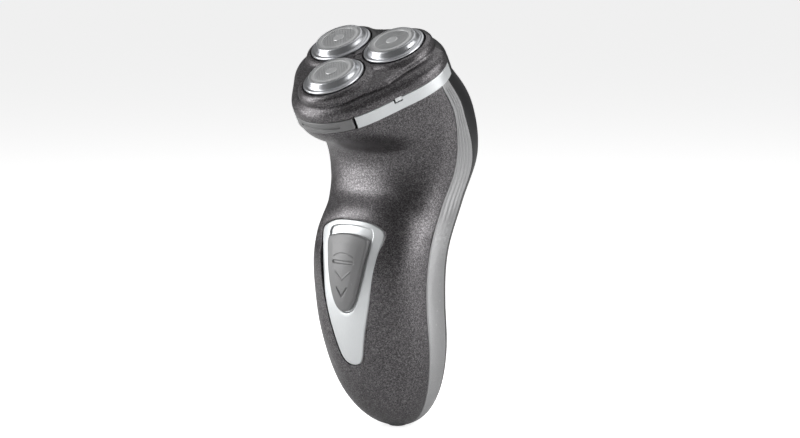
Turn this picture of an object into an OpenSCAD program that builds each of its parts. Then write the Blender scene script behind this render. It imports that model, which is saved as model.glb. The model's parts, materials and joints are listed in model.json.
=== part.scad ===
// Electric shaver with three floating rotary heads, millimetres.
// Origin: middle of the small foot at the bottom end. +Z up, switch side faces -Y.
// The head is drawn in its own frame: z along the head's axis, y towards the hinge.

/* [Handle] */
// Width of the handle at its lower half
handle_w = 48.8; // [44:0.2:54]
// Depth of the handle at its lower half
handle_d = 42.8; // [38:0.2:48]
// Wall thickness of the two shells
wall = 1.8; // [1.5:0.1:2.4]
// Thickness of the side grips
grip_t = 0.9; // [0.7:0.1:1.2]
// Angle of open seam between shells, degrees round the section
seam = 0.3; // [0.2:0.05:0.5]
// Radius of the small foot at the bottom end
foot_r = 4; // [3:0.5:6]

/* [Head] */
// Forward tilt of the head
tilt = 29.5; // [20:0.5:35]
// Distance from the head's axis to each cutting unit
unit_r = 15; // [14:0.5:17]
// Radius of the rim of each cutting unit
rim_r = 11.85; // [11:0.05:12]
// Height of the guard's face above its rim
face_h = 2.4; // [1.8:0.1:3]
// Greatest radius of the collar under the head
collar_r = 33.5; // [33.2:0.1:34]
// How far each cutting unit floats inwards
float_travel = 1.5; // [0.5:0.1:1.5]
// Blades on each inner cutter
blade_count = 14; // [9:1:18]
// Slots in each guard
slot_count = 36; // [24:1:48]

/* [Drive] */
// Teeth on the motor pinion
pinion_teeth = 20; // [20:2:20]
// Teeth on each drive gear
gear_teeth = 40; // [40:2:40]
// Radius of the motor can
motor_r = 10; // [9:0.5:10.5]
// Length of the motor can
motor_l = 28; // [24:1:30]

/* [Switch] */
// Upward travel of the power switch
switch_travel = 1.8; // [1:0.1:1.8]
// Inward travel of the head release button
release_travel = 1.2; // [0.8:0.1:1.2]
// How far the switch stands in front of its bezel
switch_proud = 1.6; // [1:0.1:2]

/* [Power] */
// Radius of each rechargeable cell
cell_r = 7.1; // [6.8:0.1:7.2]
// Length of each rechargeable cell
cell_l = 48.5; // [44:0.5:50]
// Radius of the inlet pins
inlet_pin_r = 1.2; // [1:0.1:1.4]

/* [Hidden] */
$fn = 64;
eps = 0.01;
e3 = 120;
tooth_m = 0.5;
hy = -24.7;
hz = 145.8;
cy = 3.2;
kw = handle_w / 48.8;
kd = handle_d / 42.8;
stations = [0, 14, 30, 50, 70, 88, 104, 120, 138];
tilts = [0, 0, 0, 0, 0, 5, 14, 23, tilt];
mid_y = [0, -3.4, -6.5, -9.9, -9.7, -1.3, 4.1, 0.2, -14.6];
mid_z = [0, 14, 30, 50, 70, 88, 103.5, 119, 134.5];
half_d = [20.9, 21.0, 20.8, 21.4, 21.9, 22.0, 23.7, 23.8, 31.6];
half_w = [24.6, 24.2, 24.1, 24.4, 25.4, 26.1, 28.8, 31.3, 31.4];
scale_w = [kw, kw, kw, kw, kw, kw, 1, 1, 1];
scale_d = [kd, kd, kd, kd, kd, kd, 1, 1, 1];
end_len = 46;
end_pow = 2.15;
crown_from = 118;
crown_len = 20;
plan_wave = [30.74, -2.93, 1, 1.81, 1.11, 0.27, 0.21];
plan_n = 96;
neck_in = 0.45;
button_half = 13.7;
seam_s = [0, 7, 14, 30, 52, 70, 85, 97, 110, 116, 122, 128, 138];
seam_front = [0, -1, -2.3, -3.6, -3.9, -3.8, -7, -8, -7.7, -7.4, -4.4, -0.8, 1];
seam_rear = [24, 24, 24, 24, 24, 22, 19, 15.8, 9.4, 6.6, 6.2, 9, 9];
rows_all = [0.5, 1.4, 3, 5.5, 9, 14, 20, 28, 38, 48, 58, 67, 76, 84, 92, 100, 107, 114, 120, 125,
    130, 134, 138];
bez_y = 55.4;
bez_z = 57;
bez_r = 87;
bez_cross = 86;
hinge_y = 29.8;
hinge_z = -10.2;
trim_y = 16.4;
trim_z = 92.3;
unit_at = [[0, -unit_r], [-unit_r * sin(60), unit_r / 2], [unit_r * sin(60), unit_r / 2]];

// ---- shape functions of the handle ----
function slope(xs, ys, k) =
    k == 0 ? (ys[1] - ys[0]) / (xs[1] - xs[0]) :
    k == len(xs) - 1 ? (ys[k] - ys[k - 1]) / (xs[k] - xs[k - 1]) :
    (ys[k + 1] - ys[k - 1]) / (xs[k + 1] - xs[k - 1]);
function span(xs, x, i = 0) = (i >= len(xs) - 2 || x < xs[i + 1]) ? i : span(xs, x, i + 1);
function along(xs, ys, x) =
    let (i = span(xs, x), h = xs[i + 1] - xs[i], u = (x - xs[i]) / h)
    (2 * u ^ 3 - 3 * u ^ 2 + 1) * ys[i] + (u ^ 3 - 2 * u ^ 2 + u) * h * slope(xs, ys, i)
    + (3 * u ^ 2 - 2 * u ^ 3) * ys[i + 1] + (u ^ 3 - u ^ 2) * h * slope(xs, ys, i + 1);
function power_of(v, e) = sign(v) * pow(abs(v), e);
function end_round(s) = s < end_len ? pow(1 - pow(1 - s / end_len, end_pow), 1 / end_pow) : 1;
function exponent(s) = s < 104 ? 2.5 : 2.5 - 0.4 * (s - 104) / 34;
// Rounded triangle of the head: radius round its middle, mean and then waves one to six.
function plan_r(a) = collar_r / 33.5 * (plan_wave[0] + plan_wave[1] * sin(a) + plan_wave[2] * cos(2 * a)
    + plan_wave[3] * sin(3 * a) + plan_wave[4] * cos(4 * a) + plan_wave[5] * sin(5 * a)
    + plan_wave[6] * cos(6 * a));
function plan_points(inset) = [for (i = [0:plan_n - 1]) let (a = 360 * i / plan_n, r = plan_r(a) - inset)
    [r * cos(a), cy + r * sin(a)]];
// Share of the head's plan in a section of the handle, from none at the neck to all at the collar.
function crown(s) = let (u = max(0, s - crown_from) / crown_len) u * u * (3 - 2 * u);
function skin(s, f, inset) =
    let (r = end_round(s), e = 2 / exponent(s), th = along(stations, tilts, s))
    let (b = along(stations, half_d, s) * along(stations, scale_d, s) * r)
    let (w = along(stations, half_w, s) * along(stations, scale_w, s) * r)
    let (x = power_of(cos(f), e), y = power_of(sin(f), e))
    let (k = 1 + crown(s) * ((plan_r(atan2(b * y, w * x)) - neck_in) / norm([w * x, b * y]) - 1))
    let (d = max(b - inset, 0.3) * y * k)
    [max(w - inset, 0.3) * x * k, along(stations, mid_y, s) + d * cos(th),
        along(stations, mid_z, s) + d * sin(th)];
function seam_f(s) = along(seam_s, seam_front, s);
function seam_r(s) = along(seam_s, seam_rear, s);

// A closed piece of skin: one row of angles per station, from inset t0 to inset t1.
module skin_patch(ss, lo, hi, m, t0, t1) {
    n = len(ss) - 1;
    outer = [for (i = [0:n]) for (j = [0:m]) skin(ss[i], lo[i] + (hi[i] - lo[i]) * j / m, t0)];
    inner = [for (i = [0:n]) for (j = [0:m]) skin(ss[i], lo[i] + (hi[i] - lo[i]) * j / m, t1)];
    k = (n + 1) * (m + 1);
    w = m + 1;
    out_f = [for (i = [0:n - 1]) for (j = [0:m - 1]) let (a = i * w + j, b = a + w)
        each [[a, b, b + 1], [a, b + 1, a + 1]]];
    in_f = [for (f = out_f) [f[0] + k, f[2] + k, f[1] + k]];
    low_f = [for (j = [0:m - 1]) each [[j, j + 1, j + 1 + k], [j, j + 1 + k, j + k]]];
    top_f = [for (j = [0:m - 1]) let (a = n * w + j)
        each [[a + 1, a, a + k], [a + 1, a + k, a + 1 + k]]];
    lo_f = [for (i = [0:n - 1]) let (a = i * w, b = a + w)
        each [[b, a, a + k], [b, a + k, b + k]]];
    hi_f = [for (i = [0:n - 1]) let (a = i * w + m, b = a + w)
        each [[a, b, b + k], [a, b + k, a + k]]];
    polyhedron(concat(outer, inner), concat(out_f, in_f, low_f, top_f, lo_f, hi_f));
}

module head_frame() {
    translate([0, hy, hz]) rotate([tilt, 0, 0]) children();
}

module plan_slab(inset, z0, z1) {
    translate([0, 0, z0]) linear_extrude(z1 - z0) polygon(plan_points(inset));
}

module plan_ring(in1, in0, z0, z1) {
    difference() {
        plan_slab(in1, z0, z1);
        plan_slab(in0, z0 - 1, z1 + 1);
    }
}

// Solid of the head's plan with a profile of insets and heights from bottom to top.
module plan_loft(profile) {
    n = len(profile);
    m = plan_n;
    pts = [for (p = profile) each [for (q = plan_points(p[0])) [q[0], q[1], p[1]]]];
    side = [for (i = [0:n - 2]) for (j = [0:m - 1]) let (a = i * m + j, b = i * m + (j + 1) % m)
        each [[a, a + m, b + m], [a, b + m, b]]];
    polyhedron(pts, concat(side, [[for (j = [0:m - 1]) j], [for (j = [m - 1:-1:0]) (n - 1) * m + j]]));
}

module tube(r1, r0, z0, z1) {
    translate([0, 0, z0]) difference() {
        cylinder(r = r1, h = z1 - z0);
        translate([0, 0, -1]) cylinder(r = r0, h = z1 - z0 + 2);
    }
}

module rod(r, z0, z1) {
    translate([0, 0, z0]) cylinder(r = r, h = z1 - z0);
}

module block(x0, x1, y0, y1, z0, z1) {
    translate([x0, y0, z0]) cube([x1 - x0, y1 - y0, z1 - z0]);
}

// Zigzag sleeve standing in for a small coil spring along z.
module spring_sleeve(r1, r0, z0, z1, turns) {
    h = (z1 - z0) / (2 * turns);
    outside = [for (i = [0:2 * turns]) [i % 2 == 0 ? r1 - 0.22 : r1, z0 + i * h]];
    inside = [for (i = [2 * turns:-1:0]) [i % 2 == 0 ? r0 : r0 + 0.22, z0 + i * h]];
    rotate_extrude() polygon(concat(outside, inside));
}

// ---- outlines in front view, x and height ----
function mirrored(h) = concat(h, [for (i = [len(h) - 2:-1:1]) [-h[i][0], h[i][1]]]);
bezel_half = [[0, 83.5], [4.5, 83.4], [8.2, 82.9], [11, 82], [13.1, 81], [14.6, 79.9], [15.1, 78.6],
    [14.9, 76.5], [14.1, 73], [13.3, 68], [12.4, 63], [11.6, 57.5], [10.7, 52.3], [9.5, 47], [7.9, 41],
    [6.6, 36], [5.8, 33], [4.9, 30.6], [3.6, 28.8], [1.9, 27.9], [0, 27.6]];
window_half = [[0, 81.6], [4.5, 81.4], [8, 80.8], [9.8, 80.1], [10.3, 79.1], [10.3, 76.5], [9.9, 72.8],
    [9.3, 69], [8.4, 64], [7.4, 59.6], [6.3, 55.6], [4.9, 52.1], [3.6, 50], [1.9, 48.7], [0, 48.3]];
slider_half = [[0, 78.7], [3, 78.6], [6.5, 77.9], [8.6, 77.3], [9.5, 76.6], [9.7, 75.4], [9.4, 72.5],
    [8.8, 69], [7.9, 64], [6.9, 59.6], [5.8, 55.8], [4.4, 52.4], [3.2, 50.5], [1.7, 49.4], [0, 49.1]];

module front_prism(pts, y0, y1) {
    translate([0, y1, 0]) rotate([90, 0, 0]) linear_extrude(y1 - y0) polygon(mirrored(pts));
}

module bez_drum(r) {
    translate([0, bez_y, bez_z]) rotate([0, 90, 0]) rotate_extrude($fn = e3)
        polygon(concat([[0, -24]], [for (x = [-24:3:24]) [r - x * x / bez_cross, x]], [[0, 24]]));
}

module bez_plate(pts, r1, r0) {
    intersection() {
        front_prism(pts, -50, -10);
        difference() {
            bez_drum(r1);
            bez_drum(r0);
        }
    }
}

// ---- handle outside ----
module front_shell() {
    ss = rows_all;
    color([0.2, 0.19, 0.2]) difference() {
        union() {
            skin_patch(ss, [for (s = ss) -180 - seam_f(s)], [for (s = ss) seam_f(s)], 20, 0, wall);
            skin_patch(ss, [for (s = ss) seam_f(s) - 2], [for (s = ss) seam_r(s) - seam], 2,
                grip_t + 0.12, wall);
            skin_patch(ss, [for (s = ss) 180 - seam_r(s) + seam],
                [for (s = ss) 182 - seam_f(s)], 2, grip_t + 0.12, wall);
            intersection() {
                translate([0, -10, 0]) rotate([90, 0, 0]) linear_extrude(40)
                    offset(delta = 1) polygon(mirrored(bezel_half));
                difference() {
                    bez_drum(bez_r - 0.1);
                    bez_drum(bez_r - 4);
                }
            }
        }
        rod(foot_r + 0.15, -2, 8);
        intersection() {
            translate([0, -10, 0]) rotate([90, 0, 0]) linear_extrude(40)
                offset(delta = 0.15) polygon(mirrored(bezel_half));
            difference() {
                bez_drum(bez_r + 10);
                bez_drum(bez_r - 2.1);
            }
        }
        front_prism(window_half, -50, -20);
    }
}

module back_shell() {
    ss = rows_all;
    tr = [for (s = [91:3:115]) s];
    color([0.03, 0.03, 0.035]) difference() {
        union() {
            skin_patch(ss, [for (s = ss) seam_r(s)], [for (s = ss) 180 - seam_r(s)], 16, 0, wall);
            // rear part of the collar, with the fixed hinge knuckles
            head_frame() intersection() {
                plan_ring(0, 1.7, -14.9, -9.95);
                translate([0, cy, -20]) linear_extrude(20)
                    polygon([[0, 0], [60, 60 * tan(17)], [60, 60], [-60, 60], [-60, 60 * tan(17)]]);
            }
            head_frame() for (x = [-9.2, 6.2]) translate([x, hinge_y, hinge_z])
                rotate([0, 90, 0]) cylinder(r = 1.9, h = 3);
            // screw posts
            intersection() {
                for (x = [-12, 12]) translate([x, 3.4, 62]) rotate([-90, 0, 0])
                    cylinder(r = 3.2, h = 9);
                skin_patch([54, 58, 62, 66, 70], [20, 20, 20, 20, 20],
                    [160, 160, 160, 160, 160], 10, 0.7, 14);
            }
            // trimmer lugs
            for (x = [-14.6, 11.8]) intersection() {
                block(x, x + 2.8, 13.6, 30, 89, 95.6);
                skin_patch([86, 89, 92, 95, 98], [60, 60, 60, 60, 60],
                    [120, 120, 120, 120, 120], 6, 0.6, 9);
            }
        }
        rod(foot_r + 0.15, -2, 8);
        head_frame() block(-6.05, 6.05, hinge_y - 3.1, 41, -12.7, -8);
        head_frame() translate([-20, hinge_y, hinge_z]) rotate([0, 90, 0])
            cylinder(r = 0.92, h = 40);
        // trimmer window
        skin_patch([90, 96, 102, 108, 114, 118.4], [for (i = [0:5]) 61.2],
            [for (i = [0:5]) 118.8], 8, -4, 6);
        difference() {
            block(-15.9, 15.9, 12, 30, 86, 94);
            block(-14.7, -11.7, 12, trim_y + 3, 86, 96);
            block(11.7, 14.7, 12, trim_y + 3, 86, 96);
            difference() {
                block(-16, 16, 12, 30, 85, 94);
                translate([-16, trim_y, trim_z]) rotate([0, 90, 0]) cylinder(r = 5.3, h = 32);
            }
        }
        translate([-20, trim_y, trim_z]) rotate([0, 90, 0]) cylinder(r = 0.82, h = 40);
        // latch slot
        latch_frame() block(-2.2, 2.2, -4, 4, -4.6, 7.6);
        // inlet
        block(-9.65, 9.65, 3.5, 30, 15.35, 24.65);
        // screw holes
        for (x = [-12, 12]) translate([x, 0, 62]) rotate([-90, 0, 0]) {
            cylinder(r = 1.25, h = 30);
            translate([0, 0, 6.5]) cylinder(r = 2.45, h = 20);
        }
    }
}

module grip(right) {
    ss = rows_all;
    lo = [for (s = ss) right ? seam_f(s) + seam : 180 - seam_r(s) + seam];
    hi = [for (s = ss) right ? seam_r(s) - seam : 180 - seam_f(s) - seam];
    color([0.62, 0.62, 0.63]) difference() {
        skin_patch(ss, lo, hi, 4, 0, grip_t);
        rod(foot_r + 0.2, -2, 8);
    }
}

module grip_left() {
    grip(false);
}

module grip_right() {
    grip(true);
}

module base_foot() {
    color([0.3, 0.3, 0.31]) rotate_extrude()
        polygon([[0, 0], [foot_r - 0.7, 0], [foot_r, 0.6], [foot_r, 3.4], [foot_r + 1.5, 4.6],
            [foot_r + 1.5, 5.6], [0, 5.6]]);
}

module collar_band() {
    intersection() {
        plan_ring(0, 1.7, -14.7, -9.95);
        translate([0, cy, -20]) linear_extrude(20) polygon([[button_half + 0.9, -60], [60, -60],
            [60, 60 * tan(16.6)], [0, 0], [button_half + 0.9, -10]]);
    }
}

module collar_cut() {
    difference() {
        collar_band();
        rotate([0, 0, -30]) block(24, 40, -0.1, 3.3, -11.5, -9);
    }
}

module collar_left() {
    color([0.82, 0.83, 0.84]) head_frame() mirror([1, 0, 0]) collar_cut();
}

module collar_right() {
    color([0.82, 0.83, 0.84]) head_frame() collar_cut();
}

module release_button() {
    color([0.45, 0.45, 0.46]) head_frame() difference() {
        intersection() {
            plan_ring(0, 1.6, -14.5, -10.1);
            block(-button_half, button_half, -45, -10, -20, 0);
        }
        intersection() {
            plan_ring(-2, 0.6, -12.9, -11.7);
            block(-9.4, 9.4, -45, -20, -13, -11);
        }
    }
}

module release_springs() {
    color([0.6, 0.6, 0.6]) head_frame() for (x = [-8.5, 8.5])
        translate([x, 0, -12.3]) rotate([-90, 0, 0]) spring_sleeve(1.1, 0.6, -27.8, -24.05, 4);
}

// ---- power switch ----
module switch_bezel() {
    color([0.82, 0.83, 0.84]) difference() {
        bez_plate(bezel_half, bez_r, bez_r - 2);
        front_prism(window_half, -50, -10);
    }
}

module window_band(grow, r1, r0) {
    intersection() {
        translate([0, -10, 0]) rotate([90, 0, 0]) linear_extrude(40)
            offset(delta = grow) polygon(mirrored(window_half));
        difference() {
            bez_drum(r1);
            bez_drum(r0);
        }
    }
}

module switch_insert() {
    color([0.85, 0.85, 0.86]) difference() {
        union() {
            window_band(-0.15, bez_r - 0.8, bez_r - 2);
            difference() {
                window_band(-0.15, bez_r - 1.9, bez_r - 4.2);
                window_band(-1.2, bez_r, bez_r - 8);
            }
            window_band(0.6, bez_r - 4.1, bez_r - 5);
        }
        block(-2.3, 2.3, -45, -5, 56, 67.6);
    }
}

module switch_slider() {
    color([0.48, 0.48, 0.49]) difference() {
        union() {
            bez_plate(slider_half, bez_r + switch_proud, bez_r - 0.1);
            block(-1.9, 1.9, -32.6, -25.2, 57, 64.6);
        }
        intersection() {
            block(-4.4, 4.4, -45, -20, 67.4, 68.6);
            difference() {
                bez_drum(bez_r + 10);
                bez_drum(bez_r + switch_proud - 0.5);
            }
        }
    }
}

module switch_contact() {
    color([0.75, 0.6, 0.3]) {
        block(-3.2, 3.2, -25.1, -24.3, 56, 65.6);
        block(-3.2, -1.4, -24.3, -22.9, 56, 57.4);
        block(1.4, 3.2, -24.3, -22.9, 56, 57.4);
    }
}

// ---- inside the handle ----
module inner_frame() {
    color([0.75, 0.74, 0.7]) difference() {
        union() {
            block(-17, 17, 0.6, 2.4, 26, 82);
            block(-16.8, -15.2, -15, 0.6, 26, 80);
            block(15.2, 16.8, -15, 0.6, 26, 80);
            block(-16.8, 16.8, -15, 2.4, 26, 27.4);
            block(-16.8, 16.8, -15, 2.4, 78.6, 80);
        }
        for (x = [-12, 12]) translate([x, -1, 62]) rotate([-90, 0, 0]) cylinder(r = 1.15, h = 10);
        for (x = [-7.5, 7.5]) rod_at(x, -8, 3, 24, 90);
    }
}

module rod_at(x, y, r, z0, z1) {
    translate([x, y, z0]) cylinder(r = r, h = z1 - z0);
}

module circuit_board() {
    color([0.1, 0.35, 0.2]) {
        block(-12.5, 12.5, -22.7, -21.3, 36, 69);
        block(-9, 3, -21.3, -16.8, 37.5, 47);
        block(4.5, 9.5, -21.3, -18.9, 50, 54);
    }
}

module capacitor() {
    color([0.15, 0.2, 0.45]) rod_at(8.2, -18.6, 2.6, 37, 48.5);
}

module cell(x) {
    rod_at(x, -8, cell_r, 28.6, 28.6 + cell_l);
    rod_at(x, -8, 2.6, 28.6 + cell_l - eps, 28.6 + cell_l + 1.2);
}

module battery_left() {
    color([0.2, 0.5, 0.35]) cell(-7.5);
}

module battery_right() {
    color([0.2, 0.5, 0.35]) cell(7.5);
}

module battery_straps() {
    color([0.8, 0.8, 0.8]) {
        block(-10.5, 10.5, -10.5, -5.5, 80.2, 80.6);
        block(-10.5, 10.5, -10.5, -5.5, 27.6, 28);
    }
}

// ---- drive ----
function inv_deg(a) = tan(a) - a * PI / 180;
function tooth_half(n, r, slack) =
    let (rp = n * tooth_m / 2, rb = rp * cos(20))
    (PI / (2 * n) * (1 - slack) + inv_deg(20) - inv_deg(acos(min(1, rb / max(r, rb)))))
    * 180 / PI;
function gear_points(n, add, ded, slack, turn) =
    let (rp = n * tooth_m / 2, r0 = rp - ded, r1 = rp - ded * 0.35, r2 = rp, r3 = rp + add)
    [for (i = [0:n - 1]) let (c = 360 * i / n + turn) each [
        for (q = [[r0, -1], [r1, -1], [r2, -1], [r3, -1], [r3, 1], [r2, 1], [r1, 1], [r0, 1]])
        let (a = c + q[1] * tooth_half(n, q[0], slack)) [q[0] * cos(a), q[0] * sin(a)]]];

module motor() {
    color([0.7, 0.7, 0.72]) head_frame() difference() {
        union() {
            rod(motor_r, -17.1 - motor_l, -17.1);
            rod(3, -17.2, -15.8);
            rod(3.2, -19 - motor_l, -17 - motor_l);
        }
        rod(1.06, -20 - motor_l, -10);
        for (x = [-6.5, 6.5]) rod_at(x, 0, 0.95, -19, -15);
    }
}

module motor_shaft() {
    color([0.8, 0.8, 0.8]) head_frame() rod(1, -18.6 - motor_l, -12.6);
}

module motor_pinion() {
    color([0.9, 0.88, 0.8]) head_frame() translate([0, 0, -15]) difference() {
        linear_extrude(2.3) polygon(gear_points(pinion_teeth, 0.45, 0.6, 0.12, 90));
        translate([0, 0, -1]) cylinder(r = 1.01, h = 5);
    }
}

module motor_screws() {
    color([0.7, 0.7, 0.7]) head_frame() for (x = [-6.5, 6.5]) {
        rod_at(x, 0, 1.5, -16.3, -15.6);
        rod_at(x, 0, 0.9, -18.7, -16.3 + eps);
    }
}

module gear_chassis() {
    color([0.85, 0.85, 0.82]) head_frame() difference() {
        union() {
            intersection() {
                translate([0, cy, -17]) cylinder(r = 25.4, h = 1.6, $fn = e3);
                plan_slab(6.3, -18, -14);
            }
            for (a = [90, 210, 330]) rod_at(21 * cos(a), 21 * sin(a), 2.6, -15.5, -12.3);
        }
        rod(3.1, -20, -10);
        for (u = unit_at) rod_at(u[0], u[1], 1.01, -20, -10);
        for (x = [-6.5, 6.5]) {
            rod_at(x, 0, 1.6, -16.4, -10);
            rod_at(x, 0, 1, -20, -10);
        }
        for (a = [90, 210, 330]) rod_at(21 * cos(a), 21 * sin(a), 0.95, -20, -10);
    }
}

module gear_axles() {
    color([0.8, 0.8, 0.8]) head_frame() for (u = unit_at) rod_at(u[0], u[1], 1, -16.8, -9.6);
}

module drive_gear(i) {
    turn = -90 + 120 * [0, 2, 1][i] + 180 + 180 / gear_teeth + [0, 3, -3][i];
    color([0.92, 0.9, 0.84]) head_frame() translate([unit_at[i][0], unit_at[i][1], 0]) difference() {
        union() {
            translate([0, 0, -14.6]) linear_extrude(1.8)
                polygon(gear_points(gear_teeth, 0.45, 0.6, 0.12, turn));
            rod(3.8, -15, -10.3);
        }
        rod(1.06, -16, -10);
        translate([0, 0, -14.2]) cylinder(r = 2.75, h = 6, $fn = 6);
    }
}

module gear_front() {
    drive_gear(0);
}

module gear_left() {
    drive_gear(1);
}

module gear_right() {
    drive_gear(2);
}

module drive_spindle(i) {
    color([0.88, 0.87, 0.84]) head_frame() translate([unit_at[i][0], unit_at[i][1], 0])
        difference() {
            union() {
                translate([0, 0, -11.8]) cylinder(r = 2.6, h = 5.3, $fn = 6);
                rod(1.9, -6.6, -4.4);
                block(-1.4, 1.4, -1.4, 1.4, -4.5, -2.5);
            }
            rod(1.35, -12, -7.6);
        }
}

module spindle_front() {
    drive_spindle(0);
}

module spindle_left() {
    drive_spindle(1);
}

module spindle_right() {
    drive_spindle(2);
}

module spindle_springs() {
    color([0.6, 0.6, 0.6]) head_frame() for (u = unit_at) translate([u[0], u[1], 0])
        spring_sleeve(2.1, 1.3, -14.15, -11.85, 3);
}

module gear_deck() {
    color([0.25, 0.25, 0.26]) head_frame() difference() {
        union() {
            plan_slab(2.1, -12.2, -10.9);
            for (u = unit_at) rod_at(u[0], u[1], 5.2, -12.2, -9.8);
        }
        for (u = unit_at) rod_at(u[0], u[1], 4.15, -14, -8);
        for (a = [90, 210, 330]) rod_at(21 * cos(a), 21 * sin(a), 1.1, -14, -8);
        block(-16.9, 16.9, -45, -23.9, -14, -8);
        block(-12.4, 12.4, 26.6, 50, -14, -8);
    }
}

module deck_screws() {
    color([0.7, 0.7, 0.7]) head_frame() for (a = [90, 210, 330])
        translate([21 * cos(a), 21 * sin(a), 0]) difference() {
            union() {
                rod(1.9, -10.85, -9.9);
                rod(0.9, -16, -10.85 + eps);
            }
            block(-2, 2, -0.25, 0.25, -10.3, -9);
        }
}

// ---- charging inlet ----
module inlet_socket() {
    color([0.04, 0.04, 0.04]) difference() {
        union() {
            block(-9.5, 9.5, 4, 13.2, 15.5, 24.5);
        }
        block(-4.3, 4.3, 5.2, 20, 16.6, 23.4);
        for (x = [-4.3, 4.3]) translate([x, 5.2, 20]) rotate([-90, 0, 0]) cylinder(r = 3.4, h = 20);
        for (x = [-4.3, 4.3]) translate([x, 0, 20]) rotate([-90, 0, 0])
            cylinder(r = inlet_pin_r - 0.29, h = 20);
    }
}

module inlet_pins() {
    color([0.8, 0.8, 0.75]) for (x = [-4.3, 4.3]) translate([x, 2.2, 20]) rotate([-90, 0, 0]) {
        cylinder(r = inlet_pin_r - 0.3, h = 3.3);
        translate([0, 0, 3.2]) cylinder(r = inlet_pin_r, h = 7);
    }
}

module shell_screws() {
    color([0.3, 0.3, 0.3]) for (x = [-12, 12]) translate([x, 0, 62]) rotate([-90, 0, 0])
        difference() {
            union() {
                rod(2.2, 6.6, 8.2);
                rod(1.1, 0.2, 6.6 + eps);
            }
            block(-3, 3, -0.3, 0.3, 7.5, 9);
            block(-0.3, 0.3, -3, 3, 7.5, 9);
        }
}

// ---- pop-out trimmer at the back ----
module trimmer_cover() {
    color([0.03, 0.03, 0.035]) difference() {
        union() {
            difference() {
                skin_patch([89, 93, 97, 101, 105, 109, 113, 117.6], [for (i = [0:7]) 62],
                    [for (i = [0:7]) 118], 10, 0, 2);
                difference() {
                    block(-20, 20, 0, 40, 80, trim_z);
                    translate([-20, trim_y, trim_z]) rotate([0, 90, 0]) cylinder(r = 4.95, h = 40);
                }
            }
            translate([-11.4, trim_y, trim_z]) rotate([0, 90, 0]) cylinder(r = 1.7, h = 22.8);
            block(-9, 9, trim_y, trim_y + 4, trim_z - 0.6, trim_z + 0.6);
            block(-10, 10, trim_y + 0.6, trim_y + 2, trim_z, 100);
            block(-10, 10, trim_y + 1, 24.3, 98.6, 100);
        }
        translate([-20, trim_y, trim_z]) rotate([0, 90, 0]) cylinder(r = 0.86, h = 40);
        for (x = [-20, 11.5]) translate([x, trim_y, trim_z]) rotate([0, 90, 0])
            cylinder(r = 4.97, h = 8.5);
    }
}

module toothed(y0, y1, z0, z1, zt, half, pitch, gap) {
    difference() {
        block(-half, half, y0, y1, z0, z1);
        for (x = [-half + pitch:pitch:half - pitch / 2])
            block(x - gap / 2, x + gap / 2, y0 - 1, y1 + 1, zt, z1 + 1);
    }
}

module trimmer_comb() {
    color([0.75, 0.76, 0.78]) toothed(19.8, 20.5, 100, 122.5, 119.6, 11.78, 1.24, 0.5);
}

module trimmer_blade() {
    color([0.8, 0.81, 0.83]) {
        toothed(18.8, 19.5, 108, 121.9, 119.4, 9.92, 1.24, 0.6);
        block(-1, 1, 16, 18.9, 108, 112);
    }
}

module trimmer_pin() {
    color([0.8, 0.8, 0.8]) translate([-14.5, trim_y, trim_z]) rotate([0, 90, 0])
        cylinder(r = 0.8, h = 29);
}

module latch_frame() {
    p = skin(77, 90, 0);
    q = skin(80, 90, 0);
    translate(p) rotate([-atan2(q[1] - p[1], q[2] - p[2]), 0, 0]) children();
}

module trimmer_latch() {
    color([0.06, 0.06, 0.065]) latch_frame() difference() {
        union() {
            block(-4.8, 4.8, 0.6, 1.7, -3.4, 5);
            block(-1.9, 1.9, -3.2, 0.7, -3.4, 4.2);
            block(-4.6, 4.6, -4, -3, -4.2, 4.2);
        }
        for (z = [-2.2:1.5:3.8]) block(-6, 6, 1.35, 3, z - 0.3, z + 0.3);
    }
}

// ---- head ----
module hinge_pin() {
    color([0.8, 0.8, 0.8]) head_frame() translate([-9.1, hinge_y, hinge_z]) rotate([0, 90, 0])
        cylinder(r = 0.9, h = 18.2);
}

module head_web(a) {
    tip = 24.8;
    side = 26.7;
    spread = 36.5;
    rotate([0, 0, a]) translate([0, 0, -8.6]) linear_extrude(6.5) polygon([[0, 0],
        [side * cos(spread), -side * sin(spread)], [tip, 0], [side * cos(spread), side * sin(spread)]]);
}

module head_body() {
    plan_loft([[0.2, -9.8], [0.2, -8.4], [0.9, -6.9], [2.3, -5.3], [4.4, -4.2], [8, -3.6]]);
    intersection() {
        for (a = [-30, 90, 210]) head_web(a);
        plan_slab(5, -9, 0);
    }
    for (u = unit_at) translate([u[0], u[1], 0]) rotate_extrude($fn = e3)
        polygon([[0, -8.6], [12, -8.6], [12.8, -7], [14.3, -4.6], [14.7, -3.2], [14.6, -2],
            [14, -1.1], [13, -0.6], [0, -0.6]]);
}

module rear_cut(d) {
    a = 17 + d;
    translate([0, cy, -20]) linear_extrude(30)
        polygon([[0, 0], [60, 60 * tan(a)], [60, 60], [-60, 60], [-60, 60 * tan(a)]]);
}

module head_housing() {
    color([0.25, 0.24, 0.25]) head_frame() {
        difference() {
            head_body();
            plan_slab(5.3, -10, -4.8);
            for (u = unit_at) {
                rod_at(u[0], u[1], 10.6, -12, 2);
                rod_at(u[0], u[1], rim_r + 0.35, -2.9, 2);
            }
            rod(1.7, -12, -3.2);
            intersection() {
                rear_cut(-0.2);
                plan_ring(-4, 3.9, -10, -2.6);
            }
            rod(1.35, -3, 0);
            rod(2.25, -2.1, 0);
        }
        difference() {
            rod(2.6, -5.6, -2.8);
            rod(1.7, -12, -3.4);
            for (u = unit_at) rod_at(u[0], u[1], rim_r + 0.35, -12, 2);
        }
        block(-5, 5, -28, -27.1, -12.3, -9.4);
        for (k = [-1, 1]) mirror([k < 0 ? 1 : 0, 0, 0]) intersection() {
            rotate([0, 0, -30]) block(24, 40, 0.15, 3.05, -11.2, -9.5);
            plan_ring(0.15, 1.55, -12, -9);
        }
    }
}

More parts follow.
